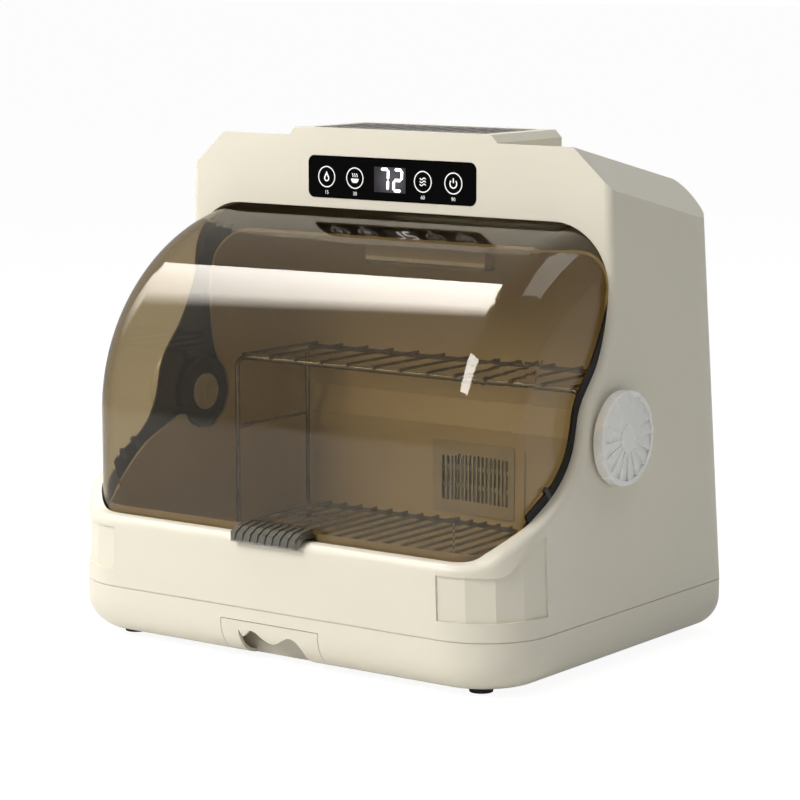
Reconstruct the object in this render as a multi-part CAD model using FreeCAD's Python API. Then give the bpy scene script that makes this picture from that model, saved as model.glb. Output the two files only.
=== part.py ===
import FreeCAD, Part
import os
from math import atan2, cos, hypot, pi, radians, sin, sqrt
from FreeCAD import Vector

# Dish sterilizer cabinet with a flip-up lid.  Millimetres, Z up, the front faces -Y.
# Sizes along Y are measured back from the front face of the base; the finished pieces are
# moved so that the origin is under the middle of the whole cabinet.

# ---- Driving dimensions ---------------------------------------------------------------------
# casing
WIDTH = 440.0            # widest, at the seam between base and shell
DEPTH = 335.0            # at the seam
FOOT = 5.0               # height of the feet
SEAM = 45.7              # height of the seam
RIM = 103.2              # top of the fascia
ROOF_Z = 402.9           # front edge of the roof
WALL = 2.5
FRONT_R = 60.0           # corner radius in plan, front
REAR_R = 30.0            # corner radius in plan, rear
SEAM_LINE = (0.8, 1.0)   # height and depth of the groove under the seam
BASE_ROUND = 26.0        # rounding of the base's lower edge
SIDE_DRAFT = 12.0 / 325  # how far a side leans in, per millimetre up
REAR_LEAN = 15.0 / 289
HALF = WIDTH / 2
OVER = 1.0               # how far a cutting shape runs past what it cuts
SOFT = 0.93              # rounding of a slot's ends, as a share of half its width
FAR = 60.0               # the same, where nothing else is near
NEAR = 0.01              # how close an edge lies to a face that it is picked by
PICK = 0.5               # the same, for edges on a sloping or rounded face
# front opening
LIP_DEPTH = 11.0         # thickness of the lip behind the fascia
LIP_ROUND = 7.0
LIP_BAND = 8.0           # width of the thick lip along the side edges
LIP_SIDE = 13.7
MOUTH_HALF = HALF - LIP_SIDE
MOUTH_R = 45.0           # corner of the mouth in plan
HEADER_Y = 160.0
HEADER_TALL = 58.0
ARCH_TOP = ROOF_Z - HEADER_TALL
ARCH_R = 50.0
# roof
ROOF_SLOPE = 0.2234      # fall per millimetre towards the rear
ROOF_ROUND = 14.0
SHOULDER_X = HALF - 47.0     # inner end of the sloping shoulder
SHOULDER_Z = ROOF_Z - 31.0   # its outer end, on the side wall
STAGE_HALF = 97.0        # raised middle of the roof
STAGE_Z = ROOF_Z + 6.5
STAGE_STEP = 6.0
STAGE_DEPTH = 92.0
# flutes on the front corners
FLUTES = 4
FLUTE_DEPTH = 1.5
FLUTE_Z = SEAM + 14.2
# lid
PIVOT_Y = HEADER_Y
PIVOT_Z = 181.9
LID_SIDE_GAP = 3.3
LID_HALF = MOUTH_HALF - LID_SIDE_GAP
LID_FRONT = LIP_DEPTH + 2.5
LID_T = 2.8
LID_R = 38.0             # rounding of the lid's ends
LID_A = HEADER_Y + 40.5 - LID_FRONT  # half axes of the lid's curve, along Y and Z
LID_B = ARCH_TOP - 0.7 - PIVOT_Z
LID_FOOT = RIM - 2.8
LID_REAR = HEADER_Y + 12.0
EAR_R = 34.0             # ear round the pivot
EAR_TURN = radians(27.0)
HANDLE_HALF = 33.0
HANDLE_R = 5.0           # corners of its outer edge
HANDLE_REACH = 8.5       # in front of the base's face
HANDLE_T = 3.0
HANDLE_RISE = 10.8       # its root above the lid's foot
HANDLE_FALL = 1.9
RIBS = 9
RIB_RISE = 1.0
GROOVE = 2.2             # between two ribs
# pivot
LID_INNER = LID_HALF - LID_T
HUB_R = 28.5
HUB_T = 5.0
HUB_BEVEL = 1.0
HUB_FACE = LID_INNER - HUB_T
HUB_CAP_R = 15.25
HUB_CAP_T = 2.4
HUB_CAP_ROUND = 0.9
COIN_SLOT = (2.4, 11.0)
PIN_R = 5.0
PIN_GAP = 0.05
BUSH_R = 8.0
BOSS_R = 30.0
BOSS_FACE = HALF - 3.0
CAP_R = 37.0
CAP_T = 8.9
CAP_GAP = 0.6
CAP_BACK = BOSS_FACE + CAP_GAP
CAP_FACE = CAP_BACK + CAP_T
CAP_ROUND = 1.6
CAP_RIM = 3.8
CAP_FACETS = 16
CAP_FACET = (0.3, 2.4)   # depth at a facet's two edges
CAP_CENTRE_R = 11.0
PIN_END = CAP_FACE - 3.0
FRAME_T = 2.1            # black side plates
FRAME_FACE = MOUTH_HALF - FRAME_T
FRAME_STEP = (-5.5, 4.5)  # how far their edge stands out in front of the lip
# their upper edge, which passes behind the header, and their rear edge, from the pivot
FRAME_TOP = ((-5.5, 88.0), (4.5, 109.5), (12.0, 128.0), (24.0, 136.5))
FRAME_BACK = ((50.0, 138.5), (32.0, 74.0), (48.0, 2.0), (-10.0, -48.0), (-98.0, -70.0))
# liner
LINER_HALF = LID_HALF - 6.0
LINER_T = 2.4
LINER_FRONT = LID_FRONT + 4.1
LINER_FLOOR = SEAM + 10.2
LINER_RIM = RIM + 5.0
LINER_REAR = DEPTH - 47.0
LINER_ROOF_R = PIVOT_Y - LID_FRONT - 6.0   # round the pivot
LINER_CORNER_R = LID_R - LID_T - 3.2   # the lid sweeps round it
LINER_BEND = 14.0
LINER_STEP = (PIVOT_Z - 30.0, PIVOT_Z - 8.0)  # where its rear wall steps back
LINER_ROOF_END = radians(80.0)
NOTCH_R = 31.0
NOTCH_TURN = (-0.995, 0.9, 2.44)  # its start, middle and end, from straight down
# the liner's front edge below and above the notch, from the pivot
LINER_LOW = ((-111.0, -63.3), (-72.0, -32.0), (-48.4, -22.0))
LINER_HIGH = ((10.0, 61.0), (9.5, 87.0), (14.0, 114.0), (24.5, 138.5))
# drawer
DRAWER_HALF = 47.7
DRAWER_Z = 34.4
DRAWER_GAP = 0.6
DRAWER_LIP = 40.0        # length of the front piece
TRAY_HALF = 45.2
TRAY_FRONT = BASE_ROUND  # where the base's floor becomes flat
TRAY_END = 185.0
TRAY_WALL = 1.8
TRAY_TOP = DRAWER_Z - 2.0
TRAY_R = 6.0
RUN_GAP = 0.3
RAIL_T = 2.0
RAIL_OVER = 2.0          # rail above the tray's edge
STOP_T = 3.7
DRAWER_SKIN = WALL + RUN_GAP
GRIP_HALF = 31.0
GRIP_Z = (12.0, 22.5, 26.3, 19.0) # ends, shoulders, crests and middle of its wavy edge
# racks
RACK_FOOT = LINER_FLOOR + LINER_T + RUN_GAP
RACK_HALF = LINER_HALF - 25.0
RACK_Y = (175.0, LINER_REAR - LINER_BEND - 2.5)
RACK_Z = RACK_FOOT + 153.3
RACK_WIRE = 2.0
LEG_WIRE = 1.8
CROSS_WIRE = 1.3
WIRE_BITE = 0.5          # how far welded wires sink into each other
RACK_CROSS = 13
RACK_BEND = 9.0
RACK_DROP = 60.0         # side ties below the top
GRID_HALF = LINER_HALF - 40.0
GRID_Y = (LINER_FRONT + 26.4, LINER_REAR - 16.0)
GRID_Z = RACK_FOOT + 13.3
GRID_CROSS = 19
GRID_LEG = 18.0          # legs from the ends
WIRE_OVER = (3.0, 2.0)   # how far the cross wires stand past the frames
# panel
PANEL_HALF = 83.5
PANEL_TALL = 34.5
PANEL_Z = (ARCH_TOP + 7.8, ARCH_TOP + 7.8 + PANEL_TALL)
PANEL_MID = (PANEL_Z[0] + PANEL_Z[1]) / 2
PANEL_R = 6.0
PANEL_T = 1.8
PANEL_PROUD = 0.3
PANEL_FIT = 0.15
PANEL_FACE = HEADER_Y - PANEL_PROUD
PANEL_BACK = PANEL_FACE + PANEL_T
LEDGE = 4.0
# display board behind it
BOARD_T = 1.6
BOARD_HALF = 89.5
BOARD_TALL = 26.0
BOARD_Z = (PANEL_MID - BOARD_TALL / 2, PANEL_MID + BOARD_TALL / 2)
BOARD_Y = PANEL_BACK + 6.5
PEG_IN = (5.0, 4.0)      # pegs from the board's ends and edges
PEG_R = 2.5
DIGIT_HALF = (15.0, 9.0)
KEYS = (-64.6, -35.9, 31.8, 61.5)
KEY_SPRING = (4.5, 3.6)
# roof vent
VENT_HALF = STAGE_HALF - 11.0
VENT_Y = (HEADER_Y + 8.0, HEADER_Y + STAGE_DEPTH - 9.0)
VENT_R = 4.0
VENT_T = 1.6
VENT_FIT = 0.2
VENT_LEDGE = 3.0
VENT_SLOTS = 13
VENT_SLOT = (14.0, 16.0, 2.0)  # margins at the ends and sides, half the width
# rear cover
COVER_HALF = HALF - 75.0
COVER_Z = (SEAM + 19.0, ROOF_Z - 107.0)
COVER_R = 12.0
COVER_GAP = 0.3
COVER_LEDGE = 8.0
LEDGE_T = 2.2
LEDGE_WIDE = 6.0         # ledge outside the opening
SLOT_PITCH = 6.0
SLOT_TALL = 3.0
SLOT_HALF = 36.0
SIDE_SLOT = (60.0, 22.0)  # middle and half length of the upper outlets
VENT_LIFT = 110.0        # upper outlets above the fan's
GRILLE_SLOTS = 9
# air and heat
FAN = 80.0
FAN_T = 20.0
FAN_Z = LINER_FLOOR + 52.0
FAN_R = 5.0
FAN_BORE_R = FAN / 2 - 2.5
FAN_HOLE = FAN / 2 - 4.25
FAN_HOLE_R = 2.1
FAN_ARMS = 3
FAN_ARM = (4.0, 3.0)     # width and depth
BLADES = 7
BLADE_T = 1.4
BLADE_LONG = 15.0
BLADE_TURN = 52.0
BLADE_GAP = 1.0
CUP_T = (1.8, 1.6)       # end and side of the impeller's cup
MOTOR_R = 16.0
MOTOR_IN = 3.0
MOTOR_LONG = 11.0
SHAFT_R = 1.5
HEATER_T = 12.0
HEATER_HALF = (46.0, 31.0)
HEATER_BAR = 7.0
HEATER_R = 2.0
HEATER_FINS = 19
HEATER_FIN = 0.8
HEATER_RAIL = 4.0
GRILLE_T = 1.5
GRILLE_R = 4.0
GRILLE_MARGIN = 11.0
AIR_SLOT = 1.5
AIR_SLOTS = 15
CUTOUT_X = HEATER_HALF[0] + 24.0
CUTOUT_UP = 12.0
CUTOUT_R = 8.0
CUTOUT_T = 5.0
# lamp
UV_HALF = 60.0
UV_WIDE = 14.0
UV_THICK = 6.0
UV_Y = PIVOT_Y + 54.0
UV_Z = PIVOT_Z + 114.0
UV_LEDS = 4
UV_SKIN = 2.0
UV_END = 12.0
UV_CHIP = (4.0, 1.5)
# power board: x0, x1, y0, y1
POWER_AT = (HALF - 149.0, HALF - 49.0, 112.0, 182.0)
POWER_Z = FOOT + 9.0
POWER_IN = 5.0           # pegs from its edges
POWER_PEG_R = 3.0
TRANSFORMER = (14.0, 18.0, 28.0, 26.0, 20.0)
CAPACITORS = ((56.0, 20.0, 6.5, 22.0), (72.0, 20.0, 5.0, 16.0), (85.0, 20.0, 5.0, 16.0))
RELAY = (38.0, 15.0, 19.0, 15.5)
RELAY_X = (52.0, 72.0)
# inlet
INLET_Z = SEAM + 41.0
INLET_HALF = (12.0, 9.0)
INLET_COLLAR = 3.0
INLET_X = COVER_LEDGE + INLET_HALF[0] + 2 * INLET_COLLAR - COVER_HALF
INLET_PIN = (4.3, 1.2)
INLET_R = 2.9
INLET_T = 2.0
INLET_DEEP = 22.0
# fastening
SCREW_R = 1.6
SCREW_HEAD_R = 3.4
SCREW_HEAD_T = 2.0
SCREW_CROSS = (2.4, 0.5)
SINK = 3.0
COVER_SINK = 1.2
TAB_X = HALF - 27.0
TAB_Y = (58.0, 165.0, LINER_REAR)
TAB_HALF = 7.0
TAB_T = 4.0
TAB_BOSS_R = 5.0
POST_R = 6.0
POST_X = LINER_HALF - 42.0
POST_Y = (60.0, LINER_REAR - 26.0)
LINER_POSTS = [(x, y) for x in (-POST_X, POST_X) for y in POST_Y]
FOOT_X = HALF - 48.0
FOOT_Y = (41.0, DEPTH - 37.0)
FOOT_R = 10.0
BASE_SLOTS = 9
BASE_SLOT = (4.0, 9.0)   # width and pitch
BASE_SLOT_X = -160.0
BASE_SLOT_Y = (110.0, 170.0)
# drain
DRAIN_Y = 120.0
DRAIN_R = 5.0
SPOUT_LONG = 20.0
SPOUT_T = 2.0
FLANGE_WIDE = 6.0
FLANGE_T = 2.5
# side bumpers
BUMPER_LONG = 11.0
BUMPER_WIDE = 4.5
BUMPER_PROUD = 0.6
BUMPER_TURN = -55.0
BUMPER_IN = 1.5
BUMPER_BACK = (6.0, 10.9)  # the upper one from the S-curve's second bend
BUMPER_PITCH = (15.0, 8.4)

Y_MIDDLE = (DEPTH - HANDLE_REACH) / 2


# ---- Small helpers --------------------------------------------------------------------------
def box(x0, x1, y0, y1, z0, z1):
    return Part.makeBox(x1 - x0, y1 - y0, z1 - z0, Vector(x0, y0, z0))


def rod(start, end, radius):
    axis = end - start
    return Part.makeCylinder(radius, axis.Length, start, axis)


def disc(x0, x1, radius):
    """A cylinder along X on the lid's pivot line."""
    return Part.makeCylinder(radius, x1 - x0, Vector(x0, PIVOT_Y, PIVOT_Z), Vector(1, 0, 0))


def rod_y(x, y0, y1, z, radius):
    return Part.makeCylinder(radius, y1 - y0, Vector(x, y0, z), Vector(0, 1, 0))


def rod_z(x, y, z0, z1, radius):
    return Part.makeCylinder(radius, z1 - z0, Vector(x, y, z0), Vector(0, 0, 1))


def rim_at(shape, x):
    """The round edges of a disc that lie in the plane at x."""
    found = []
    for edge in shape.Edges:
        if edge.BoundBox.XLength < NEAR and abs(edge.BoundBox.XMin - x) < NEAR:
            found.append(edge)
    return found


def both(shape):
    """The shape and its mirror image across the middle plane."""
    return [shape, shape.mirror(Vector(0, 0, 0), Vector(1, 0, 0))]


def flip(shape):
    return shape.mirror(Vector(0, 0, 0), Vector(1, 0, 0))


def face(place, start, *steps):
    """A flat face from a closed outline.  place turns (u, v) into a point; a step is a point,
    ("arc", middle, end) or ("spline", points, start direction, end direction)."""
    edges = []
    here = start
    for step in steps + (start,):
        if step[0] == "arc":
            edges.append(Part.Arc(place(*here), place(*step[1]), place(*step[2])).toShape())
            here = step[2]
        elif step[0] == "spline":
            curve = Part.BSplineCurve()
            through = [place(*p) for p in [here] + step[1]]
            zero = place(0, 0)
            curve.interpolate(through, InitialTangent=place(*step[2]) - zero,
                              FinalTangent=place(*step[3]) - zero)
            edges.append(curve.toShape())
            here = step[1][-1]
        elif hypot(here[0] - step[0], here[1] - step[1]) > NEAR:
            edges.append(Part.makeLine(place(*here), place(*step)))
            here = step
    return Part.Face(Part.Wire(edges))


def side_view(x):
    return lambda y, z: Vector(x, y, z)


def front_view(y):
    return lambda x, z: Vector(x, y, z)


def along_x(half, start, *steps):
    """A solid with this side-view outline, from -half to half across."""
    return face(side_view(-half), start, *steps).extrude(Vector(2 * half, 0, 0))


def side_slab(x0, x1, start, *steps):
    return face(side_view(x0), start, *steps).extrude(Vector(x1 - x0, 0, 0))


def rounded(place, u0, u1, v0, v1, r):
    """A face that is a rectangle with four round corners."""
    k = r * (1 - sqrt(0.5))
    return face(place, (u0 + r, v0), (u1 - r, v0), ("arc", (u1 - k, v0 + k), (u1, v0 + r)),
                (u1, v1 - r), ("arc", (u1 - k, v1 - k), (u1 - r, v1)),
                (u0 + r, v1), ("arc", (u0 + k, v1 - k), (u0, v1 - r)),
                (u0, v0 + r), ("arc", (u0 + k, v0 + k), (u0 + r, v0)))


def window(half, z0, z1, r, y0, y1, middle=0.0):
    """A rounded prism that runs along Y."""
    shape = rounded(front_view(y0), middle - half, middle + half, z0, z1, r)
    return shape.extrude(Vector(0, y1 - y0, 0))


def plan(half, front, rear, r_front, r_rear, z):
    """The casing's outline in plan, as a wire."""
    kf = r_front * (1 - sqrt(0.5))
    kr = r_rear * (1 - sqrt(0.5))
    shape = face(lambda x, y: Vector(x, y, z), (-half + r_front, front), (half - r_front, front),
                 ("arc", (half - kf, front + kf), (half, front + r_front)),
                 (half, rear - r_rear), ("arc", (half - kr, rear - kr), (half - r_rear, rear)),
                 (-half + r_rear, rear), ("arc", (-half + kr, rear - kr), (-half, rear - r_rear)),
                 (-half, front + r_front), ("arc", (-half + kf, front + kf), (-half + r_front, front)))
    return shape.OuterWire


def half_width(z):
    return HALF - SIDE_DRAFT * (z - SEAM)


def rear_at(z):
    return DEPTH - REAR_LEAN * (z - SEAM)


def column(inset, z0, z1):
    """The tapering column that the shell is cut from, inset by a wall."""
    wires = []
    for z in (z0, z1):
        wires.append(plan(half_width(z) - inset, inset, rear_at(z) - inset,
                          FRONT_R - inset, REAR_R - inset, z))
    return Part.makeLoft(wires, True, True)


# ---- Outlines that several pieces share -----------------------------------------------------
# The side wall's front edge: a swept S from the fascia's rim up to the header, as shares of
# the way back and up between its two ends.
S_START = (9.0, RIM)
S_END = (HEADER_Y, ARCH_TOP - 39.0)
S_SHARES = ((0.073, 0.033), (0.305, 0.139), (0.550, 0.240), (0.685, 0.373), (0.738, 0.516),
            (0.881, 0.652), (0.969, 0.803), (1.0, 1.0))
S_CURVE = [(S_START[0] + u * (S_END[0] - S_START[0]), S_START[1] + v * (S_END[1] - S_START[1]))
           for u, v in S_SHARES]


def shell_profile(inset):
    """Side view of everything behind the S-curve and under the roof, inset by a wall."""
    r = ROOF_ROUND - min(inset, WALL)
    # centre of the round end of the roof, which touches the roof line and the leaning rear wall
    n = hypot(1.0, ROOF_SLOPE)
    m = hypot(1.0, REAR_LEAN)
    crown = ROOF_Z - inset + ROOF_SLOPE * (HEADER_Y + inset)
    back = rear_at(0.0) - inset
    cy = (back - REAR_LEAN * (crown - r * n) - r * m) / (1.0 - REAR_LEAN * ROOF_SLOPE)
    cz = crown - ROOF_SLOPE * cy - r * n
    first = (cy + r * ROOF_SLOPE / n, cz + r / n)
    last = (cy + r / m, cz + r * REAR_LEAN / m)
    turn = (atan2(1.0, ROOF_SLOPE) + atan2(REAR_LEAN, 1.0)) / 2
    middle = (cy + r * cos(turn), cz + r * sin(turn))
    def at(y, z):
        return (y + inset, z - inset)

    return along_x(WIDTH, at(-FAR, RIM), at(*S_START),
                   ("spline", [at(*p) for p in S_CURVE], (1, 0), (0, 1)), at(HEADER_Y, ROOF_Z), first,
                   ("arc", middle, last), (DEPTH + FAR, 0.0), at(-FAR, 0.0))


def shoulder_cut(inset):
    """What the two sloping shoulders take off, moved inwards by a wall."""
    rise = (ROOF_Z - SHOULDER_Z) / (half_width(SHOULDER_Z) - SHOULDER_X)
    norm = hypot(1.0, rise)
    dx = -inset * rise / norm
    dz = -inset / norm
    lift = ROOF_SLOPE * HEADER_Y
    x_in = SHOULDER_X - FAR
    x_out = SHOULDER_X + 2 * FAR
    outline = face(front_view(0.0), (x_in + dx, ROOF_Z + FAR * rise + lift + dz),
                   (x_out + dx, ROOF_Z - 2 * FAR * rise + lift + dz),
                   (x_out + FAR, ROOF_Z - 2 * FAR * rise + lift),
                   (x_out + FAR, ROOF_Z + FAR * rise + lift + FAR))
    cut = outline.extrude(Vector(0, DEPTH + FAR, -ROOF_SLOPE * (DEPTH + FAR)))
    return Part.makeCompound(both(cut))


def stage(inset):
    """The raised middle of the roof."""
    low = ROOF_Z - ROOF_SLOPE * STAGE_DEPTH - 3 * STAGE_STEP
    half = STAGE_HALF - inset
    foot = half + STAGE_STEP
    top = STAGE_Z - inset
    outline = face(front_view(HEADER_Y + inset), (-foot, low), (foot, low),
                   (foot, STAGE_Z - STAGE_STEP - inset), (half, top), (-half, top),
                   (-foot, STAGE_Z - STAGE_STEP - inset))
    return outline.extrude(Vector(0, STAGE_DEPTH - 2 * inset, 0))


def mouth_plan(z0, z1):
    """The column between the side lips, behind the fascia's lip."""
    wire = plan(MOUTH_HALF, LIP_DEPTH, DEPTH + FAR, MOUTH_R, MOUTH_R, z0)
    return Part.Face(wire).extrude(Vector(0, 0, z1 - z0))


def arch():
    """The front opening seen from the front, under the header."""
    r = ARCH_R
    k = r * (1 - sqrt(0.5))
    w = MOUTH_HALF
    outline = face(front_view(0.0), (-w, 0.0), (w, 0.0), (w, ARCH_TOP - r),
                   ("arc", (w - k, ARCH_TOP - k), (w - r, ARCH_TOP)),
                   (-w + r, ARCH_TOP), ("arc", (-w + k, ARCH_TOP - k), (-w, ARCH_TOP - r)))
    return outline.extrude(Vector(0, HEADER_Y + 2 * WALL, 0))


# ---- Casing ---------------------------------------------------------------------------------
def shell_body(inset):
    body = column(inset, SEAM, ROOF_Z + FAR).common(shell_profile(inset))
    return body.cut(shoulder_cut(inset))


def lip_edges(body):
    """Outer edges of the lip: along the rim, round the corners and up both S-curves."""
    found = []
    for edge in body.Edges:
        middle = edge.valueAt((edge.FirstParameter + edge.LastParameter) / 2)
        across = abs(edge.Vertexes[0].X - edge.Vertexes[-1].X) > HALF
        low = RIM - PICK < middle.z < S_CURVE[-1][1] - PICK and middle.y < HEADER_Y - NEAR
        if low and not (across and middle.y > PICK):
            found.append(edge)
    return found


def fluted_corners(depth, z0, inset):
    """What lies outside a many-sided corner column, from z0 up to an inset of the lip."""
    outer = FRONT_R + 2 * FLUTE_DEPTH + OVER
    rim = FRONT_R - depth
    wires = []
    for z in (z0, RIM + FRONT_R):
        cx = half_width(z) - FRONT_R
        points = []
        for i in range(FLUTES + 1):
            a = pi / 2 * i / FLUTES
            points.append(Vector(cx + rim * sin(a), FRONT_R - rim * cos(a), z))
        points.append(Vector(cx + outer, FRONT_R, z))
        points.append(Vector(cx + outer, FRONT_R - outer, z))
        points.append(Vector(cx, FRONT_R - outer, z))
        wires.append(Part.makePolygon(points + [points[0]]))
    tool = Part.makeLoft(wires, True, True)
    return Part.makeCompound(both(tool.common(shell_profile(inset))))


def through_rear(half, z0, z1, r, middle=0.0):
    """A rounded prism that passes through the rear wall."""
    return window(half, z0, z1, r, rear_at(z1) - 4 * WALL, DEPTH + OVER, middle)


def cover_window(grow):
    return through_rear(COVER_HALF + grow, COVER_Z[0] - grow, COVER_Z[1] + grow, COVER_R + grow)


def rear_layer(inset, thick):
    """A flat layer that follows the leaning rear wall."""
    low = rear_at(SEAM) - inset
    high = rear_at(ROOF_Z) - inset
    return along_x(HALF - REAR_R - 2 * WALL, (low, SEAM), (high, ROOF_Z),
                   (high - thick, ROOF_Z), (low - thick, SEAM))


def cover_screw_points():
    """Where the rear cover's screws enter, on its outer face, with the wall's normal."""
    normal = Vector(0, 1, REAR_LEAN)
    normal.normalize()
    low, high = COVER_Z
    places = []
    for x in (-COVER_HALF + COVER_LEDGE / 2, COVER_HALF - COVER_LEDGE / 2):
        for z in (low + COVER_R, (low + high) / 2, high - COVER_R):
            places.append((Vector(x, rear_at(z), z), normal))
    return places


def tab_points():
    return [(side * TAB_X, y) for side in (-1, 1) for y in TAB_Y]


def vent_window(grow, z0, z1):
    """The opening in the raised roof, seen from above."""
    shape = rounded(lambda x, y: Vector(x, y, z0), -VENT_HALF - grow, VENT_HALF + grow,
                    VENT_Y[0] - grow, VENT_Y[1] + grow, VENT_R + grow)
    return shape.extrude(Vector(0, 0, z1 - z0))


def panel_pocket(grow, y0, y1):
    half = PANEL_HALF + grow
    return window(half, PANEL_Z[0] - grow, PANEL_Z[1] + grow, PANEL_R + grow, y0, y1)


def outer_shell():
    body = shell_body(0.0)
    body = body.makeFillet(LIP_ROUND, lip_edges(body))
    body = body.fuse(stage(0.0)).removeSplitter()
    body = body.cut(fluted_corners(FLUTE_DEPTH, FLUTE_Z, LIP_BAND + OVER))
    room = shell_body(WALL)
    room = room.common(shell_profile(LIP_BAND).fuse(mouth_plan(0.0, ROOF_Z + FAR)))
    room = room.cut(fluted_corners(FLUTE_DEPTH + WALL, SEAM - OVER, 0.0)).fuse(stage(WALL))
    shell = body.cut(room).cut(arch().common(mouth_plan(0.0, ROOF_Z)))
    # rear opening with a ledge that the cover lies on
    ledge = rear_layer(WALL, LEDGE_T).common(cover_window(LEDGE_WIDE).cut(cover_window(-COVER_LEDGE)))
    shell = shell.cut(cover_window(0.0)).fuse(ledge)
    # round seats for the lid's pivots
    bosses = both(disc(MOUTH_HALF, BOSS_FACE, BOSS_R))
    shell = shell.fuse(bosses)
    # tabs that the base is screwed to, and pegs that carry the display board
    reach = half_width(SEAM) - WALL / 2
    more = []
    for y in TAB_Y:
        more += both(box(TAB_X - TAB_HALF, reach, y - TAB_HALF, y + TAB_HALF, SEAM, SEAM + TAB_T))
    for x in (-BOARD_HALF + PEG_IN[0], BOARD_HALF - PEG_IN[0]):
        for z in (BOARD_Z[0] + PEG_IN[1], BOARD_Z[1] - PEG_IN[1]):
            more.append(rod_y(x, HEADER_Y + WALL / 2, BOARD_Y, z, PEG_R))
    shell = shell.fuse(more)
    # pocket and window for the panel, opening for the roof vent
    cuts = [panel_pocket(0.0, HEADER_Y - OVER, PANEL_BACK),
            panel_pocket(-LEDGE, HEADER_Y - OVER, HEADER_Y + WALL + OVER),
            vent_window(0.0, STAGE_Z - VENT_T, STAGE_Z + OVER),
            vent_window(-VENT_LEDGE, STAGE_Z - WALL - OVER, STAGE_Z + OVER)]
    cuts += both(disc(MOUTH_HALF - OVER, BOSS_FACE + OVER, BUSH_R))
    for x, y in tab_points():
        cuts.append(rod_z(x, y, SEAM - OVER, SEAM + TAB_T + OVER, SCREW_R))
    for point, normal in cover_screw_points():
        cuts.append(rod(point - normal * 2 * (WALL + LEDGE_T), point + normal, SCREW_R))
    return shell.cut(cuts).removeSplitter()


def base_form(inset, top):
    """The rounded lower tray, inset by a wall."""
    wire = plan(HALF - inset, inset, DEPTH - inset, FRONT_R - inset, REAR_R - inset, FOOT + inset)
    solid = Part.Face(wire).extrude(Vector(0, 0, top - FOOT - inset))
    low = [e for e in solid.Edges if max(v.Z for v in e.Vertexes) < FOOT + inset + NEAR]
    return solid.makeFillet(BASE_ROUND - inset, low)


def seam_groove():
    """The ring that is cut away just under the seam, all round."""
    tall, deep = SEAM_LINE
    rings = []
    for grow in (OVER, -deep):
        wire = plan(HALF + grow, -grow, DEPTH + grow, FRONT_R + grow, REAR_R + grow, SEAM - tall)
        rings.append(Part.Face(wire).extrude(Vector(0, 0, tall + OVER)))
    return rings[0].cut(rings[1])


def base_housing():
    base = base_form(0.0, SEAM).cut(base_form(WALL, SEAM + OVER)).cut(seam_groove())
    gap = DRAWER_HALF + DRAWER_GAP
    base = base.cut(box(-gap, gap, -OVER, DRAWER_LIP + DRAWER_GAP, 0.0, DRAWER_Z + DRAWER_GAP))
    low = FOOT + WALL / 2
    floor = FOOT + WALL
    more = []
    # posts under the liner, bosses under the shell's tabs, pegs for the power board
    for x, y in LINER_POSTS:
        more.append(rod_z(x, y, low, LINER_FLOOR, POST_R))
    for x, y in tab_points():
        more.append(rod_z(x, y, low, SEAM, TAB_BOSS_R))
    for x, y in power_board_pegs():
        more.append(rod_z(x, y, low, POWER_Z, POWER_PEG_R))
    # rails beside the drawer, from behind its front piece to the stop that ends its way in
    rail = TRAY_HALF + RUN_GAP
    stop = TRAY_END + RUN_GAP
    top = TRAY_TOP + RAIL_OVER
    more += both(box(rail, rail + RAIL_T, DRAWER_LIP + RAIL_OVER, stop, low, top))
    more.append(box(-rail - RAIL_T, rail + RAIL_T, stop, stop + STOP_T, low, top))
    base = base.fuse(more)
    cuts = []
    for x, y in tab_points():
        cuts.append(rod_z(x, y, FOOT - OVER, FOOT + SINK, SCREW_HEAD_R + RUN_GAP))
        cuts.append(rod_z(x, y, FOOT, SEAM + OVER, SCREW_R))
    for x, y in LINER_POSTS:
        cuts.append(rod_z(x, y, FOOT - OVER, FOOT + SINK, SCREW_HEAD_R + RUN_GAP))
        cuts.append(rod_z(x, y, FOOT, LINER_FLOOR + OVER, SCREW_R))
    # cooling slots in the floor
    for i in range(BASE_SLOTS):
        x = BASE_SLOT_X + i * BASE_SLOT[1]
        cuts.append(box(x, x + BASE_SLOT[0], BASE_SLOT_Y[0], BASE_SLOT_Y[1], FOOT - OVER, floor + OVER))
    return base.cut(cuts).removeSplitter()


def rear_cover():
    cover = rear_layer(0.0, WALL).common(cover_window(-COVER_GAP))
    tall = SLOT_TALL / 2
    cuts = []
    for i in range(GRILLE_SLOTS):
        z = FAN_Z + SLOT_PITCH * (i - (GRILLE_SLOTS - 1) / 2)
        up = z + VENT_LIFT
        cuts.append(through_rear(SLOT_HALF, z - tall, z + tall, tall * SOFT))
        for middle in (-SIDE_SLOT[0], SIDE_SLOT[0]):
            cuts.append(through_rear(SIDE_SLOT[1], up - tall, up + tall, tall * SOFT, middle))
    w, h = INLET_HALF
    cuts.append(through_rear(w, INLET_Z - h, INLET_Z + h, INLET_R, INLET_X))
    for point, normal in cover_screw_points():
        cuts.append(rod(point - normal * 2 * WALL, point + normal, SCREW_R))
        cuts.append(rod(point - normal * COVER_SINK, point + normal, SCREW_HEAD_R))
    return cover.cut(cuts)


def feet():
    pads = []
    for x in (-FOOT_X, FOOT_X):
        for y in FOOT_Y:
            pads.append(Part.makeCone(FOOT_R - OVER, FOOT_R, FOOT, Vector(x, y, 0.0)))
    return Part.makeCompound(pads)


# ---- Side plates and bumpers ----------------------------------------------------------------
def frame_edge():
    """Front edge of a side plate: the S-curve moved out from behind the lip."""
    return [(y + FRAME_STEP[0], z + FRAME_STEP[1]) for y, z in S_CURVE[1:-1]]


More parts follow.
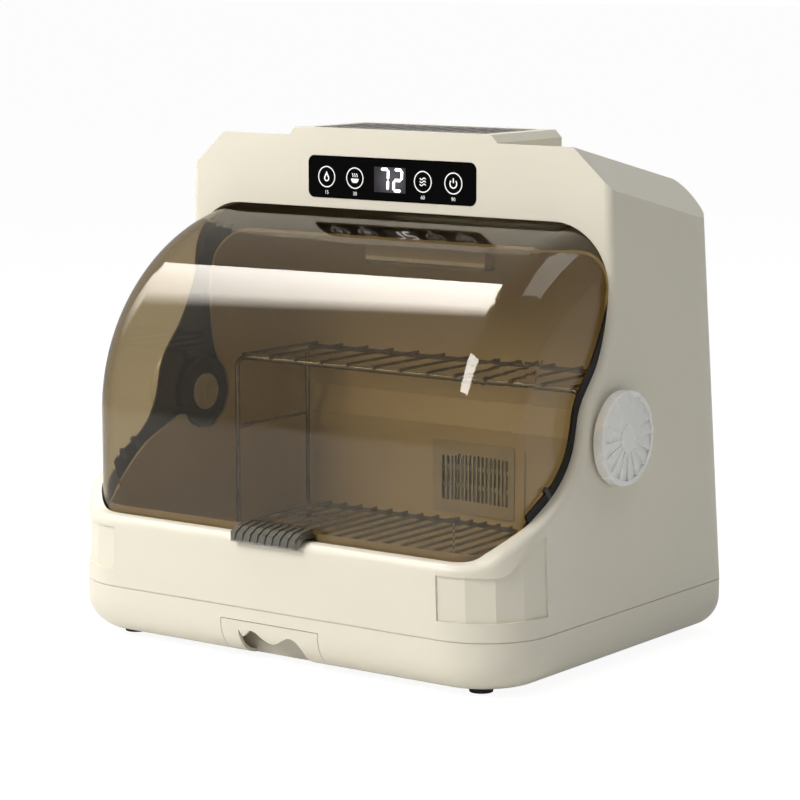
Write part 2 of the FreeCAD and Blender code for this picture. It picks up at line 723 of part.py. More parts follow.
def side_frame():
    edge = frame_edge()
    top = [(PIVOT_Y + y, PIVOT_Z + z) for y, z in FRAME_TOP]
    back = [(PIVOT_Y + y, PIVOT_Z + z) for y, z in FRAME_BACK]
    outline = (edge[0], ("spline", edge[1:-1] + top, (1, 0.6), (1, 0.2)), back[0],
               ("spline", back[1:3], (-0.4, -1), (0, -1)),
               ("spline", back[3:], (-0.3, -1), (-1, -0.4)))
    plate = side_slab(FRAME_FACE, MOUTH_HALF, *outline)
    return plate.cut(disc(0.0, HALF, BUSH_R))


def bumper(point):
    """A short block laid across the plate's front edge at one point of the S-curve."""
    y, z = point
    block = Part.makeBox(FRAME_T + BUMPER_PROUD, BUMPER_LONG, BUMPER_WIDE,
                         Vector(FRAME_FACE - BUMPER_PROUD, -BUMPER_LONG, -BUMPER_WIDE / 2))
    long_edges = [e for e in block.Edges if abs(e.Vertexes[0].X - e.Vertexes[1].X) > FRAME_T]
    block = block.makeFillet(BUMPER_PROUD, long_edges)
    block.rotate(Vector(0, 0, 0), Vector(1, 0, 0), BUMPER_TURN)
    block.translate(Vector(0, y + BUMPER_IN, z - BUMPER_IN))
    return block


def bumpers():
    """One on the right plate, two on the left."""
    edge = frame_edge()
    upper = (edge[1][0] - BUMPER_BACK[0], edge[1][1] - BUMPER_BACK[1])
    lower = (upper[0] - BUMPER_PITCH[0], upper[1] - BUMPER_PITCH[1])
    return [bumper(upper)], [flip(bumper(upper)), flip(bumper(lower))]


# ---- Liner ----------------------------------------------------------------------------------
def rear_edges(form, half):
    """The edges of a side's outline from the floor up the rear wall to the end of the roof."""
    found = []
    for edge in form.Edges:
        on_side = edge.BoundBox.XLength < NEAR and abs(abs(edge.BoundBox.XMin) - half) < NEAR
        middle = edge.valueAt((edge.FirstParameter + edge.LastParameter) / 2)
        if on_side and middle.y > PIVOT_Y + NOTCH_R:
            found.append(edge)
    return found


def liner_form(inset, mouth):
    """The liner's outer or inner form: floor, rear wall and a roof round the lid's pivot."""
    r = LINER_ROOF_R - inset
    half = LINER_HALF - inset
    front = LINER_FRONT + inset
    floor = LINER_FLOOR + inset
    rear = LINER_REAR - inset
    step = PIVOT_Y + r
    end = LINER_ROOF_END
    high = (PIVOT_Y + r * cos(end), PIVOT_Z + r * sin(end))
    mid = (PIVOT_Y + r * cos(end / 2), PIVOT_Z + r * sin(end / 2))
    form = along_x(half, (front, floor), (rear, floor), (rear, LINER_STEP[0]), (step, LINER_STEP[1]),
                   (step, PIVOT_Z), ("arc", mid, high), (high[0] - mouth, high[1] + mouth * cos(end)),
                   (front, LINER_RIM + LINER_CORNER_R))
    form = form.makeFillet(LINER_CORNER_R - inset, rear_edges(form, half))
    wire = plan(half, front, DEPTH, LINER_CORNER_R - inset, REAR_R - inset, 0.0)
    form = form.common(Part.Face(wire).extrude(Vector(0, 0, ROOF_Z)))
    return form.makeFillet(LINER_BEND - inset, [e for e in form.Edges if e.BoundBox.ZMax < floor + NEAR])


def liner():
    tub = liner_form(0.0, 0.0).cut(liner_form(LINER_T, LINER_BEND))
    low = [(PIVOT_Y + y, PIVOT_Z + z) for y, z in LINER_LOW]
    high = [(PIVOT_Y + y, PIVOT_Z + z) for y, z in LINER_HIGH]
    start, under, end = [(PIVOT_Y + NOTCH_R * sin(a), PIVOT_Z - NOTCH_R * cos(a)) for a in NOTCH_TURN]
    away = along_x(WIDTH, (0.0, LINER_RIM), (low[0][0] - LINER_BEND, LINER_RIM),
                   ("spline", low + [start], (1, 0.5), (1, -0.15)), ("arc", under, end),
                   ("spline", high, (-0.5, 0.85), (0.5, 1)), (high[-1][0] + OVER, ROOF_Z),
                   (0.0, ROOF_Z))
    tub = tub.cut(away)
    # pad between the roof and the lamp's carrier
    pad = box(-UV_HALF, UV_HALF, UV_Y - UV_WIDE / 2, UV_Y + UV_WIDE / 2, UV_Z + UV_THICK,
              PIVOT_Z + LINER_ROOF_R)
    tub = tub.fuse(pad.common(liner_form(LINER_T / 2, 0.0)))
    w = HEATER_HALF[0] - HEATER_BAR
    h = HEATER_HALF[1] - HEATER_BAR
    floor = (LINER_FLOOR - OVER, LINER_FLOOR + 2 * LINER_T)
    cuts = [window(w, FAN_Z - h, FAN_Z + h, HEATER_R, LINER_REAR - 2 * LINER_T, LINER_REAR + OVER),
            rod_z(0.0, DRAIN_Y, *floor, DRAIN_R)]
    for x, y in LINER_POSTS:
        cuts.append(rod_z(x, y, *floor, SCREW_R))
    return tub.cut(cuts)


def drain_spout():
    bottom = LINER_FLOOR - SPOUT_LONG
    tube = rod_z(0.0, DRAIN_Y, bottom, LINER_FLOOR, DRAIN_R + SPOUT_T)
    flange = rod_z(0.0, DRAIN_Y, LINER_FLOOR - FLANGE_T, LINER_FLOOR, DRAIN_R + FLANGE_WIDE)
    return tube.fuse(flange).cut(rod_z(0.0, DRAIN_Y, bottom - OVER, LINER_FLOOR + OVER, DRAIN_R))


def air_grille():
    back = LINER_REAR - LINER_T
    front = back - GRILLE_T
    w, h = HEATER_HALF
    plate = window(w, FAN_Z - h, FAN_Z + h, GRILLE_R, front, back)
    span = w - GRILLE_MARGIN
    slots = []
    for i in range(AIR_SLOTS):
        x = span * (2.0 * i / (AIR_SLOTS - 1) - 1)
        slots.append(window(AIR_SLOT, FAN_Z - h + GRILLE_MARGIN, FAN_Z + h - GRILLE_MARGIN,
                            AIR_SLOT * SOFT, front - OVER, back + OVER, x))
    return plate.cut(slots)


# ---- Lid and its pivots ---------------------------------------------------------------------
def lid_form(inset):
    """The curved lid as a solid: straight at the foot, then a quarter of an ellipse."""
    a = LID_A - inset
    b = LID_B - inset
    front = LID_FRONT + inset
    middle = Vector(0, LID_FRONT + LID_A, PIVOT_Z)
    half = LID_HALF - inset
    behind = middle + Vector(0, a, 0)
    top = middle + Vector(0, 0, b)
    if a > b:
        quarter = Part.ArcOfEllipse(Part.Ellipse(behind, top, middle), pi / 2, pi).toShape()
    else:
        quarter = Part.ArcOfEllipse(Part.Ellipse(top, behind, middle), -pi / 2, 0).toShape()
    # the smaller form, which hollows the lid, runs on past both of its open edges
    past = 4 * inset
    far = middle.y + past + OVER
    low = LID_FOOT - past
    points = [Vector(0, middle.y, PIVOT_Z + b), Vector(0, far, PIVOT_Z + b), Vector(0, far, low),
              Vector(0, front, low), Vector(0, front, PIVOT_Z)]
    edges = [quarter] + [Part.makeLine(p, q) for p, q in zip(points[:-1], points[1:])]
    section = Part.Face(Part.Wire(Part.__sortEdges__(edges)))
    section.translate(Vector(-half, 0, 0))
    solid = section.extrude(Vector(2 * half, 0, 0))
    ends = []
    for edge in solid.Edges:
        p = edge.valueAt((edge.FirstParameter + edge.LastParameter) / 2)
        on_end = abs(abs(p.x) - half) < NEAR
        straight = abs(p.y - front) < NEAR
        curved = edge.Curve.TypeId == "Part::GeomEllipse"
        level = on_end and abs(p.z - PIVOT_Z - b) < NEAR
        if on_end and (straight or curved or level):
            ends.append(edge)
    return solid.makeFillet(LID_R - inset, ends)


def lid():
    ear = EAR_R
    turn = pi / 4
    keep = along_x(WIDTH, (0.0, LID_FOOT), (PIVOT_Y - 3 * EAR_R, LID_FOOT),
                   (PIVOT_Y - ear * sin(EAR_TURN), PIVOT_Z - ear * cos(EAR_TURN)),
                   ("arc", (PIVOT_Y + ear * sin(turn), PIVOT_Z - ear * cos(turn)),
                    (PIVOT_Y + ear, PIVOT_Z)),
                   (LID_REAR + LIP_BAND, PIVOT_Z + LID_B / 2), (LID_REAR, ROOF_Z), (0.0, ROOF_Z))
    cover = lid_form(0.0).cut(lid_form(LID_T)).common(keep)
    return cover.cut(disc(-HALF, HALF, PIN_R))


def lid_handle():
    """A plate that steps down in front of the fascia, with ribs from the lid to its edge."""
    root = LID_FOOT + HANDLE_RISE
    tip = -HANDLE_REACH
    bend = (LID_FRONT - LIP_DEPTH - HANDLE_T / 2, root - HANDLE_FALL)
    top = [(LID_FRONT, root), bend, (tip + HANDLE_T, bend[1] - 2 * HANDLE_FALL),
           (tip + RIB_RISE, LID_FOOT)]
    low = [(tip + HANDLE_T, LID_FOOT - HANDLE_T + RIB_RISE), (tip + 2 * HANDLE_T, LID_FOOT),
           (bend[0] + RIB_RISE, bend[1] - HANDLE_T - RIB_RISE), (LID_FRONT, bend[1] - HANDLE_T)]
    plate = along_x(HANDLE_HALF, *top, *low)
    crest = [(y, z + RIB_RISE) for y, z in top[:2]]
    crest += [(top[2][0] - RIB_RISE, top[2][1] + RIB_RISE), (tip, LID_FOOT)]
    inside = [(y, z - RIB_RISE) for y, z in reversed(top)]
    pitch = 2 * HANDLE_HALF / RIBS
    ribs = []
    for i in range(RIBS):
        x = -HANDLE_HALF + (i + 0.5) * pitch
        half = (pitch - GROOVE) / 2
        ribs.append(side_slab(x - half, x + half, *crest, *inside))
    corners = rounded(lambda x, y: Vector(x, y, 0.0), -HANDLE_HALF, HANDLE_HALF,
                      tip, LID_FRONT + 2 * HANDLE_R, HANDLE_R)
    return plate.fuse(ribs).common(corners.extrude(Vector(0, 0, RIM + FAR))).removeSplitter()


def hub():
    body = disc(HUB_FACE, LID_INNER, HUB_R)
    body = body.makeChamfer(HUB_BEVEL, rim_at(body, HUB_FACE))
    return body.cut(disc(HUB_FACE - OVER, LID_INNER + OVER, PIN_R))


def hub_cap():
    outside = HUB_FACE - HUB_CAP_T
    cap = disc(outside, HUB_FACE, HUB_CAP_R)
    cap = cap.makeFillet(HUB_CAP_ROUND, rim_at(cap, outside))
    # a coin slot hooked at one end
    wide, tall = COIN_SLOT
    slot = box(outside - OVER, outside + HUB_CAP_ROUND, PIVOT_Y - wide / 2, PIVOT_Y + wide / 2,
               PIVOT_Z - tall / 2, PIVOT_Z + tall / 2)
    hook = Part.makeTorus(tall / 3, HUB_CAP_ROUND, Vector(outside, PIVOT_Y + tall / 4, PIVOT_Z + tall / 3),
                          Vector(1, 0, 0), -180, 180, 180)
    return cap.cut([slot, hook])


def pivot_pin():
    return disc(HUB_FACE, PIN_END, PIN_R)


def pivot_bush():
    body = disc(FRAME_FACE, BOSS_FACE, BUSH_R)
    return body.cut(disc(FRAME_FACE - OVER, BOSS_FACE + OVER, PIN_R + PIN_GAP))


def facet_cut(turn, width):
    """The tilted wedge that one facet of the cap is cut with."""
    r = CAP_R - CAP_RIM
    shallow, deep = CAP_FACET

    def at(x, radius, angle):
        return Vector(x, PIVOT_Y + radius * cos(angle), PIVOT_Z + radius * sin(angle))

    axis_top = at(CAP_FACE + OVER, 0.0, 0.0)
    axis_low = at(CAP_FACE - shallow, 0.0, 0.0)
    top_a = at(CAP_FACE + OVER, r, turn)
    top_b = at(CAP_FACE + OVER, r, turn + width)
    low_a = at(CAP_FACE - shallow, r, turn)
    low_b = at(CAP_FACE - deep, r, turn + width)
    loops = ((axis_top, top_a, top_b), (axis_top, axis_low, low_a, top_a),
             (axis_top, top_b, low_b, axis_low), (axis_low, low_b, low_a), (top_a, low_a, low_b, top_b))
    faces = [Part.Face(Part.makePolygon(loop + loop[:1])) for loop in loops]
    return Part.Solid(Part.Shell(faces))


def pivot_cap():
    cap = disc(CAP_BACK, CAP_FACE, CAP_R)
    cap = cap.makeFillet(CAP_ROUND, rim_at(cap, CAP_FACE))
    width = 2 * pi / CAP_FACETS
    cap = cap.cut([facet_cut(width * i, width) for i in range(CAP_FACETS)])
    cap = cap.fuse(disc(CAP_BACK, CAP_FACE - CAP_FACET[0], CAP_CENTRE_R))
    return cap.cut(disc(CAP_BACK - OVER, PIN_END, PIN_R)).removeSplitter()


# ---- Drawer ---------------------------------------------------------------------------------
def upright(shape):
    """The edges of a box that stand up."""
    return [e for e in shape.Edges if e.BoundBox.ZLength > TRAY_R]


def drawer_front():
    block = box(-DRAWER_HALF, DRAWER_HALF, -OVER, DRAWER_LIP, 0.0, DRAWER_Z)
    skin = base_form(0.0, SEAM).cut(base_form(DRAWER_SKIN, SEAM + OVER)).common(block)
    cheeks = both(box(TRAY_HALF, DRAWER_HALF, 0.0, DRAWER_LIP, FOOT, DRAWER_Z))
    cheeks = [c.common(base_form(0.0, SEAM)) for c in cheeks]
    inner = box(-TRAY_HALF, TRAY_HALF, TRAY_FRONT - RAIL_T, TRAY_FRONT, FOOT + OVER, TRAY_TOP)
    # finger recess under a wavy edge
    low, edge, crest, dip = GRIP_Z
    turn = GRIP_HALF * 0.88
    peak = GRIP_HALF * 0.7
    wave = face(front_view(-OVER), (-GRIP_HALF, 0.0), (GRIP_HALF, 0.0), (GRIP_HALF, low),
                ("spline", [(turn, edge), (peak, crest), (0.0, dip), (-peak, crest), (-turn, edge),
                            (-GRIP_HALF, low)], (0, 1), (0, -1)))
    recess = wave.extrude(Vector(0, TRAY_FRONT - RAIL_T + OVER, 0))
    return skin.fuse(cheeks + [inner]).cut(recess).removeSplitter()


def drip_tray():
    low = FOOT + WALL + RUN_GAP
    half = TRAY_HALF
    w = TRAY_WALL
    tray = box(-half, half, TRAY_FRONT, TRAY_END, low, TRAY_TOP)
    tray = tray.makeFillet(TRAY_R, [e for e in upright(tray) if e.Vertexes[0].Y > TRAY_FRONT + w])
    room = box(-half + w, half - w, TRAY_FRONT + w, TRAY_END - w, low + w, TRAY_TOP + OVER)
    return tray.cut(room.makeFillet(TRAY_R - w, upright(room)))


# ---- Racks ----------------------------------------------------------------------------------
def bent(points):
    """A wire along two straight ends, two round bends and the straight between them."""
    edges = [Part.makeLine(points[0], points[1]),
             Part.Arc(points[1], points[2], points[3]).toShape(),
             Part.makeLine(points[3], points[4]),
             Part.Arc(points[4], points[5], points[6]).toShape(),
             Part.makeLine(points[6], points[7])]
    profile = Part.Wire(Part.makeCircle(RACK_WIRE, points[0], points[1] - points[0]))
    return Part.Wire(edges).makePipeShell([profile], True, False)


def end_frame(y):
    """One end of the upper rack: two legs and the bar between them."""
    x = RACK_HALF
    b = RACK_BEND
    k = b * (1 - sqrt(0.5))
    z = RACK_Z
    return bent([Vector(-x, y, RACK_FOOT), Vector(-x, y, z - b), Vector(-x + k, y, z - k),
                 Vector(-x + b, y, z), Vector(x - b, y, z), Vector(x - k, y, z - k),
                 Vector(x, y, z - b), Vector(x, y, RACK_FOOT)])


def cross_wires(half, count, ends, over, frame_z):
    """Wires laid from front to rear over a frame, spread from -half to half."""
    z = frame_z + RACK_WIRE + CROSS_WIRE - WIRE_BITE
    wires = []
    for i in range(count):
        x = half * (2.0 * i / (count - 1) - 1)
        wires.append(rod_y(x, ends[0] - over, ends[1] + over, z, CROSS_WIRE))
    return wires


def upper_rack():
    wires = [end_frame(y) for y in RACK_Y]
    wires += cross_wires(RACK_HALF - RACK_BEND, RACK_CROSS, RACK_Y, WIRE_OVER[0], RACK_Z)
    wires += both(rod_y(RACK_HALF, *RACK_Y, RACK_Z - RACK_DROP, CROSS_WIRE))
    return wires[0].multiFuse(wires[1:])


def ring_half(half, y0, y1, z):
    """The right half of the lower rack's frame, bent from one wire."""
    b = RACK_BEND
    k = b * (1 - sqrt(0.5))
    points = [Vector(0, y0, z), Vector(half - b, y0, z), Vector(half - k, y0 + k, z),
              Vector(half, y0 + b, z), Vector(half, y1 - b, z), Vector(half - k, y1 - k, z),
              Vector(half - b, y1, z), Vector(0, y1, z)]
    return bent(points)


def lower_rack():
    y0, y1 = GRID_Y
    x = GRID_HALF
    frame = ring_half(x, y0, y1, GRID_Z)
    frame = frame.fuse(flip(frame)).removeSplitter()
    middle = (y0 + y1) / 2
    wires = [rod(Vector(-x, middle, GRID_Z), Vector(x, middle, GRID_Z), CROSS_WIRE)]
    wires += cross_wires(x - RACK_BEND, GRID_CROSS, GRID_Y, WIRE_OVER[1], GRID_Z)
    for y in (y0 + GRID_LEG, y1 - GRID_LEG):
        wires += both(rod_z(x, y, RACK_FOOT, GRID_Z, LEG_WIRE))
    return frame.multiFuse(wires)


# ---- Panel, display and roof vent -----------------------------------------------------------
def control_panel():
    return panel_pocket(-PANEL_FIT, PANEL_FACE, PANEL_BACK)


def display_board():
    return box(-BOARD_HALF, BOARD_HALF, BOARD_Y, BOARD_Y + BOARD_T, *BOARD_Z)


def display_module():
    x, z = DIGIT_HALF
    return box(-x, x, PANEL_BACK, BOARD_Y, PANEL_MID - z, PANEL_MID + z)


def touch_springs():
    outer, inner = KEY_SPRING
    tubes = []
    for x in KEYS:
        tube = rod_y(x, PANEL_BACK, BOARD_Y, PANEL_MID, outer)
        tubes.append(tube.cut(rod_y(x, PANEL_BACK - OVER, BOARD_Y + OVER, PANEL_MID, inner)))
    return Part.makeCompound(tubes)


def top_vent_panel():
    plate = vent_window(-VENT_FIT, STAGE_Z - VENT_T, STAGE_Z)
    low = STAGE_Z - VENT_T - OVER
    end, side, half = VENT_SLOT
    slots = []
    for i in range(VENT_SLOTS):
        x = (VENT_HALF - end) * (2.0 * i / (VENT_SLOTS - 1) - 1)
        slot = rounded(lambda u, v: Vector(u, v, low), x - half, x + half,
                       VENT_Y[0] + side, VENT_Y[1] - side, half * SOFT)
        slots.append(slot.extrude(Vector(0, 0, VENT_T + 2 * OVER)))
    return plate.cut(slots)


# ---- Air and heat ---------------------------------------------------------------------------
def heater_frame():
    x, z = HEATER_HALF
    b = HEATER_BAR
    back = LINER_REAR + HEATER_T
    ring = window(x, FAN_Z - z, FAN_Z + z, HEATER_R, LINER_REAR, back)
    return ring.cut(window(x - b, FAN_Z - z + b, FAN_Z + z - b, HEATER_R, LINER_REAR - OVER, back + OVER))


def ptc_heater():
    """Two flat elements across the frame's window, and the fins that stand on them."""
    x = HEATER_HALF[0] - HEATER_BAR
    z = HEATER_HALF[1] - HEATER_BAR
    y0, y1 = LINER_REAR + OVER, LINER_REAR + HEATER_T - OVER
    half = HEATER_RAIL / 2
    bars = [box(-x, x, y0, y1, middle - half, middle + half) for middle in (FAN_Z - z / 3, FAN_Z + z / 3)]
    fins = []
    for i in range(HEATER_FINS):
        p = (x - HEATER_RAIL) * (2.0 * i / (HEATER_FINS - 1) - 1)
        fins.append(box(p - HEATER_FIN / 2, p + HEATER_FIN / 2, y0, y1, FAN_Z - z, FAN_Z + z))
    return bars[0].multiFuse(bars[1:] + fins)


def fan_housing():
    front = LINER_REAR + HEATER_T
    back = front + FAN_T
    h = FAN / 2
    wide, deep = FAN_ARM
    body = window(h, FAN_Z - h, FAN_Z + h, FAN_R, front, back)
    body = body.cut(rod_y(0.0, front - OVER, back + OVER, FAN_Z, FAN_BORE_R))
    arms = [rod_y(0.0, back - deep, back, FAN_Z, MOTOR_R)]
    for i in range(FAN_ARMS):
        arm = box(0.0, FAN_BORE_R + OVER, back - deep, back, FAN_Z - wide / 2, FAN_Z + wide / 2)
        arm.rotate(Vector(0, 0, FAN_Z), Vector(0, 1, 0), 360.0 / FAN_ARMS * i)
        arms.append(arm)
    holes = []
    for x in (-FAN_HOLE, FAN_HOLE):
        for z in (FAN_Z - FAN_HOLE, FAN_Z + FAN_HOLE):
            holes.append(rod_y(x, front - OVER, back + OVER, z, FAN_HOLE_R))
    return body.fuse(arms).cut(holes).removeSplitter()


def fan_motor():
    back = LINER_REAR + HEATER_T + FAN_T - FAN_ARM[1]
    front = back - MOTOR_LONG
    body = rod_y(0.0, front, back, FAN_Z, MOTOR_R - MOTOR_IN)
    return body.cut(rod_y(0.0, front - OVER, back - OVER, FAN_Z, SHAFT_R + PIN_GAP))


def fan_impeller():
    """A cup over the motor, its shaft and the blades round it."""
    front = LINER_REAR + HEATER_T + BLADE_GAP
    back = LINER_REAR + HEATER_T + FAN_T - FAN_ARM[1] - BLADE_GAP
    end, side = CUP_T
    inside = rod_y(0.0, front + end, back + OVER, FAN_Z, MOTOR_R - side)
    cup = rod_y(0.0, front, back, FAN_Z, MOTOR_R).cut(inside)
    shaft = rod_y(0.0, front + OVER, back - OVER, FAN_Z, SHAFT_R)
    swept = rod_y(0.0, front, back, FAN_Z, FAN_BORE_R - BLADE_GAP)
    long = FAN_BORE_R - MOTOR_R + side
    blades = []
    for i in range(BLADES):
        blade = Part.makeBox(long, BLADE_T, BLADE_LONG,
                             Vector(MOTOR_R - side, -BLADE_T / 2, -BLADE_LONG / 2))
        blade.rotate(Vector(0, 0, 0), Vector(1, 0, 0), BLADE_TURN)
        blade.translate(Vector(0, (front + back) / 2, FAN_Z))
        blade.rotate(Vector(0, 0, FAN_Z), Vector(0, 1, 0), 360.0 * i / BLADES)
        blades.append(blade.common(swept).cut(inside))
    return cup.multiFuse([shaft] + blades)


# ---- Lamp, board and inlet ------------------------------------------------------------------
def lamp_block(inset, z0, z1):
    y = UV_WIDE / 2 - inset
    return box(-UV_HALF + inset, UV_HALF - inset, UV_Y - y, UV_Y + y, z0, z1)


def uv_strip():
    return lamp_block(0.0, UV_Z + UV_THICK / 2, UV_Z + UV_THICK)


def uv_lens():
    cover = lamp_block(0.0, UV_Z, UV_Z + UV_THICK / 2)
    return cover.cut(lamp_block(UV_SKIN, UV_Z + UV_SKIN / 2, UV_Z + UV_THICK))


def uv_leds():
    wide, thick = UV_CHIP
    top = UV_Z + UV_THICK / 2
    chips = []
    for i in range(UV_LEDS):
        x = (UV_HALF - UV_END) * (2.0 * i / (UV_LEDS - 1) - 1)
        chips.append(box(x - wide / 2, x + wide / 2, UV_Y - wide / 2, UV_Y + wide / 2, top - thick, top))
    return Part.makeCompound(chips)


def power_board_pegs():
    x0, x1, y0, y1 = POWER_AT
    return [(x, y) for x in (x0 + POWER_IN, x1 - POWER_IN) for y in (y0 + POWER_IN, y1 - POWER_IN)]


def power_board():
    return box(*POWER_AT, POWER_Z, POWER_Z + BOARD_T)


def on_board(x, y, wide, deep, tall):
    """A block on the power board, placed from the board's front left corner."""
    x0 = POWER_AT[0] + x
    y0 = POWER_AT[2] + y
    z0 = POWER_Z + BOARD_T
    return box(x0, x0 + wide, y0, y0 + deep, z0, z0 + tall)


def power_transformer():
    return on_board(*TRANSFORMER)


def board_capacitors():
    z = POWER_Z + BOARD_T
    cans = []
    for x, y, radius, tall in CAPACITORS:
        cans.append(rod_z(POWER_AT[0] + x, POWER_AT[2] + y, z, z + tall, radius))
    return Part.makeCompound(cans)


def board_relays():
    return Part.makeCompound([on_board(x, *RELAY) for x in RELAY_X])


def power_inlet():
    """A two-pin inlet set through the rear cover, with a flange inside its opening."""
    w, h = INLET_HALF
    z0 = INLET_Z
    out = rear_at(z0 + h)
    c = INLET_COLLAR
    body = window(w - PANEL_FIT, z0 - h + PANEL_FIT, z0 + h - PANEL_FIT, INLET_R,
                  out - INLET_DEEP, out - RUN_GAP, INLET_X)
    collar = rear_layer(WALL, INLET_T)
    collar = collar.common(window(w + c, z0 - h - c, z0 + h + c, INLET_R, out - INLET_DEEP, out, INLET_X))
    rear = out - INLET_DEEP + 2 * INLET_T
    socket = window(w - INLET_T, z0 - h + INLET_T, z0 + h - INLET_T, INLET_R, rear, out + OVER, INLET_X)
    x, radius = INLET_PIN
    pins = [rod_y(INLET_X + side * x, rear - OVER, out - INLET_T, z0, radius) for side in (-1, 1)]
    return body.fuse(collar).cut(socket).fuse(pins).removeSplitter()


def thermal_cutout():
    """A round switch against the liner beside the heater, with its terminal block."""
    z = FAN_Z + CUTOUT_UP
    y = LINER_REAR + CUTOUT_T
    w = CUTOUT_R / 2
    return rod_y(CUTOUT_X, LINER_REAR, y, z, CUTOUT_R).fuse(
        box(CUTOUT_X - w, CUTOUT_X + w, y, y + w, z - w, z + w))


# ---- Screws ---------------------------------------------------------------------------------
def screw(seat, direction, length):
    """Pan head outside its seat, shank along direction."""
    wide, tall = SCREW_CROSS
    head = rod(seat - direction * SCREW_HEAD_T, seat, SCREW_HEAD_R)
    arm = box(-wide, wide, -tall, tall, -OVER, SCREW_HEAD_T / 2)
    cross = arm.fuse(box(-tall, tall, -wide, wide, -OVER, SCREW_HEAD_T / 2))
    spin = FreeCAD.Rotation(Vector(0, 0, 1), direction)
    cross.Placement = FreeCAD.Placement(seat - direction * SCREW_HEAD_T, spin)
    return head.cut(cross).fuse(rod(seat, seat + direction * length, SCREW_R)).removeSplitter()


def screws_up(points, top):
    """Screws from under the base up to the height of what they hold."""
    seat = FOOT + SINK
    return Part.makeCompound([screw(Vector(x, y, seat), Vector(0, 0, 1), top - seat) for x, y in points])


def cover_screws():
    length = WALL + LEDGE_T - COVER_SINK
    return Part.makeCompound([screw(point - normal * COVER_SINK, normal * -1.0, length)
                              for point, normal in cover_screw_points()])


# ---- Everything -----------------------------------------------------------------------------
def pieces():
    plate = side_frame()
    right_bumpers, left_bumpers = bumpers()
    yield "base_housing", base_housing()
    yield "outer_shell", outer_shell()
    yield "rear_cover", rear_cover()
    yield "rubber_feet", feet()
    yield "side_frame_right", plate.cut(right_bumpers)
    yield "side_frame_left", flip(plate).cut(left_bumpers)
    yield "lid_bumpers", Part.makeCompound(right_bumpers + left_bumpers)
    for make in (hub, hub_cap, pivot_pin, pivot_bush, pivot_cap):
        piece = make()
        yield make.__name__ + "_right", piece
        yield make.__name__ + "_left", flip(piece)
    for make in (liner, drain_spout, air_grille, lid, lid_handle, drawer_front, drip_tray, upper_rack,
                 lower_rack, control_panel, display_board, display_module, touch_springs,
                 top_vent_panel, heater_frame, ptc_heater, fan_housing, fan_motor, fan_impeller,
                 uv_strip, uv_lens, uv_leds, power_board, power_transformer, board_capacitors,
                 board_relays, power_inlet, thermal_cutout, cover_screws):
        yield make.__name__, make()
    yield "case_screws", screws_up(tab_points(), SEAM + TAB_T)
    yield "liner_screws", screws_up(LINER_POSTS, LINER_FLOOR + LINER_T)


os.makedirs("parts", exist_ok=True)
for name, shape in pieces():
    shape = shape.copy()
    shape.translate(Vector(0, -Y_MIDDLE, 0))
    shape.exportStep("parts/" + name + ".step")
    b = shape.optimalBoundingBox()
    print(f"{name:20s} solids {len(shape.Solids):3d} valid {shape.isValid()} {shape.Volume / 1000:9.2f} cm3"
          f"  x {b.XMin:7.1f} {b.XMax:7.1f}  y {b.YMin:7.1f} {b.YMax:7.1f}  z {b.ZMin:6.1f} {b.ZMax:6.1f}")
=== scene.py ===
"""Dish sterilizer cabinet with a flip-up smoked lid, dressed piece by piece in the order in which
it is put together.  Metres; the front faces -Y and the cabinet stands at Z = 0."""

import bpy
import bmesh
from math import cos, pi, radians, sin
from mathutils import Matrix, Vector


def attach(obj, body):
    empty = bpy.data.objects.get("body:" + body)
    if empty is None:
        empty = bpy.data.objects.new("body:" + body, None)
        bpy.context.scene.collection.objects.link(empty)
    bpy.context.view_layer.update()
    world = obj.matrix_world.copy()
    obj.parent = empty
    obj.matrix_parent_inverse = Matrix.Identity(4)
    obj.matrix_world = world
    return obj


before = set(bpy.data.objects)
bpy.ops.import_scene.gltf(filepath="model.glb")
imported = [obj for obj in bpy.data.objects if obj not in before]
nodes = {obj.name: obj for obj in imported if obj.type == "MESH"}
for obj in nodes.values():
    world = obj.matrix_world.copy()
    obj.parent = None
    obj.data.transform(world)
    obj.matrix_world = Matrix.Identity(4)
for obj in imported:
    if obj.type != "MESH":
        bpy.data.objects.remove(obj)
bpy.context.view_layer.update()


# ---- Base tray ------------------------------------------------------------------------------
# The lower casing: cream ABS moulded in a tool with a very fine spark grain, so it is satin
# rather than glossy.  It carries everything else, and its wall stops at the seam.
class Channel:
    """A value or colour that varies over a surface.  Each sum or product with it adds a node."""

    def __init__(self, owner, socket):
        self.owner = owner
        self.socket = socket

    def _math(self, operation, first, second):
        return self.owner.node("ShaderNodeMath", {"operation": operation}, first, second)

    def __add__(self, other):
        return self._math("ADD", self, other)

    def __sub__(self, other):
        return self._math("SUBTRACT", self, other)

    def __rsub__(self, other):
        return self._math("SUBTRACT", other, self)

    def __mul__(self, other):
        return self._math("MULTIPLY", self, other)

    __radd__ = __add__
    __rmul__ = __mul__


class Nodes:
    """The node tree of a material, a lamp or the room."""

    def __init__(self, tree):
        self.tree = tree

    def node(self, kind, settings, *values, out=0, **named):
        """Any node: settings first, then its sockets in order or by name; out is its output."""
        made = self.tree.nodes.new(kind)
        for label, value in settings.items():
            setattr(made, label, value)
        pairs = [(made.inputs[i], v) for i, v in enumerate(values) if v is not None]
        pairs += [(made.inputs[label.replace("_", " ")], v) for label, v in named.items()]
        for socket, value in pairs:
            if isinstance(value, Channel):
                self.tree.links.new(value.socket, socket)
            else:
                socket.default_value = value
        return Channel(self, made.outputs[out])

    def ramp(self, factor, start, end, low=0.0, high=1.0):
        """low where the factor is at start, high where it is at end, even between them."""
        return self.node("ShaderNodeMapRange", {}, factor, start, end, low, high)

    def join(self, channel, node, label):
        """Links a channel to a socket of one of the tree's first nodes."""
        self.tree.links.new(channel.socket, self.tree.nodes[node].inputs[label])


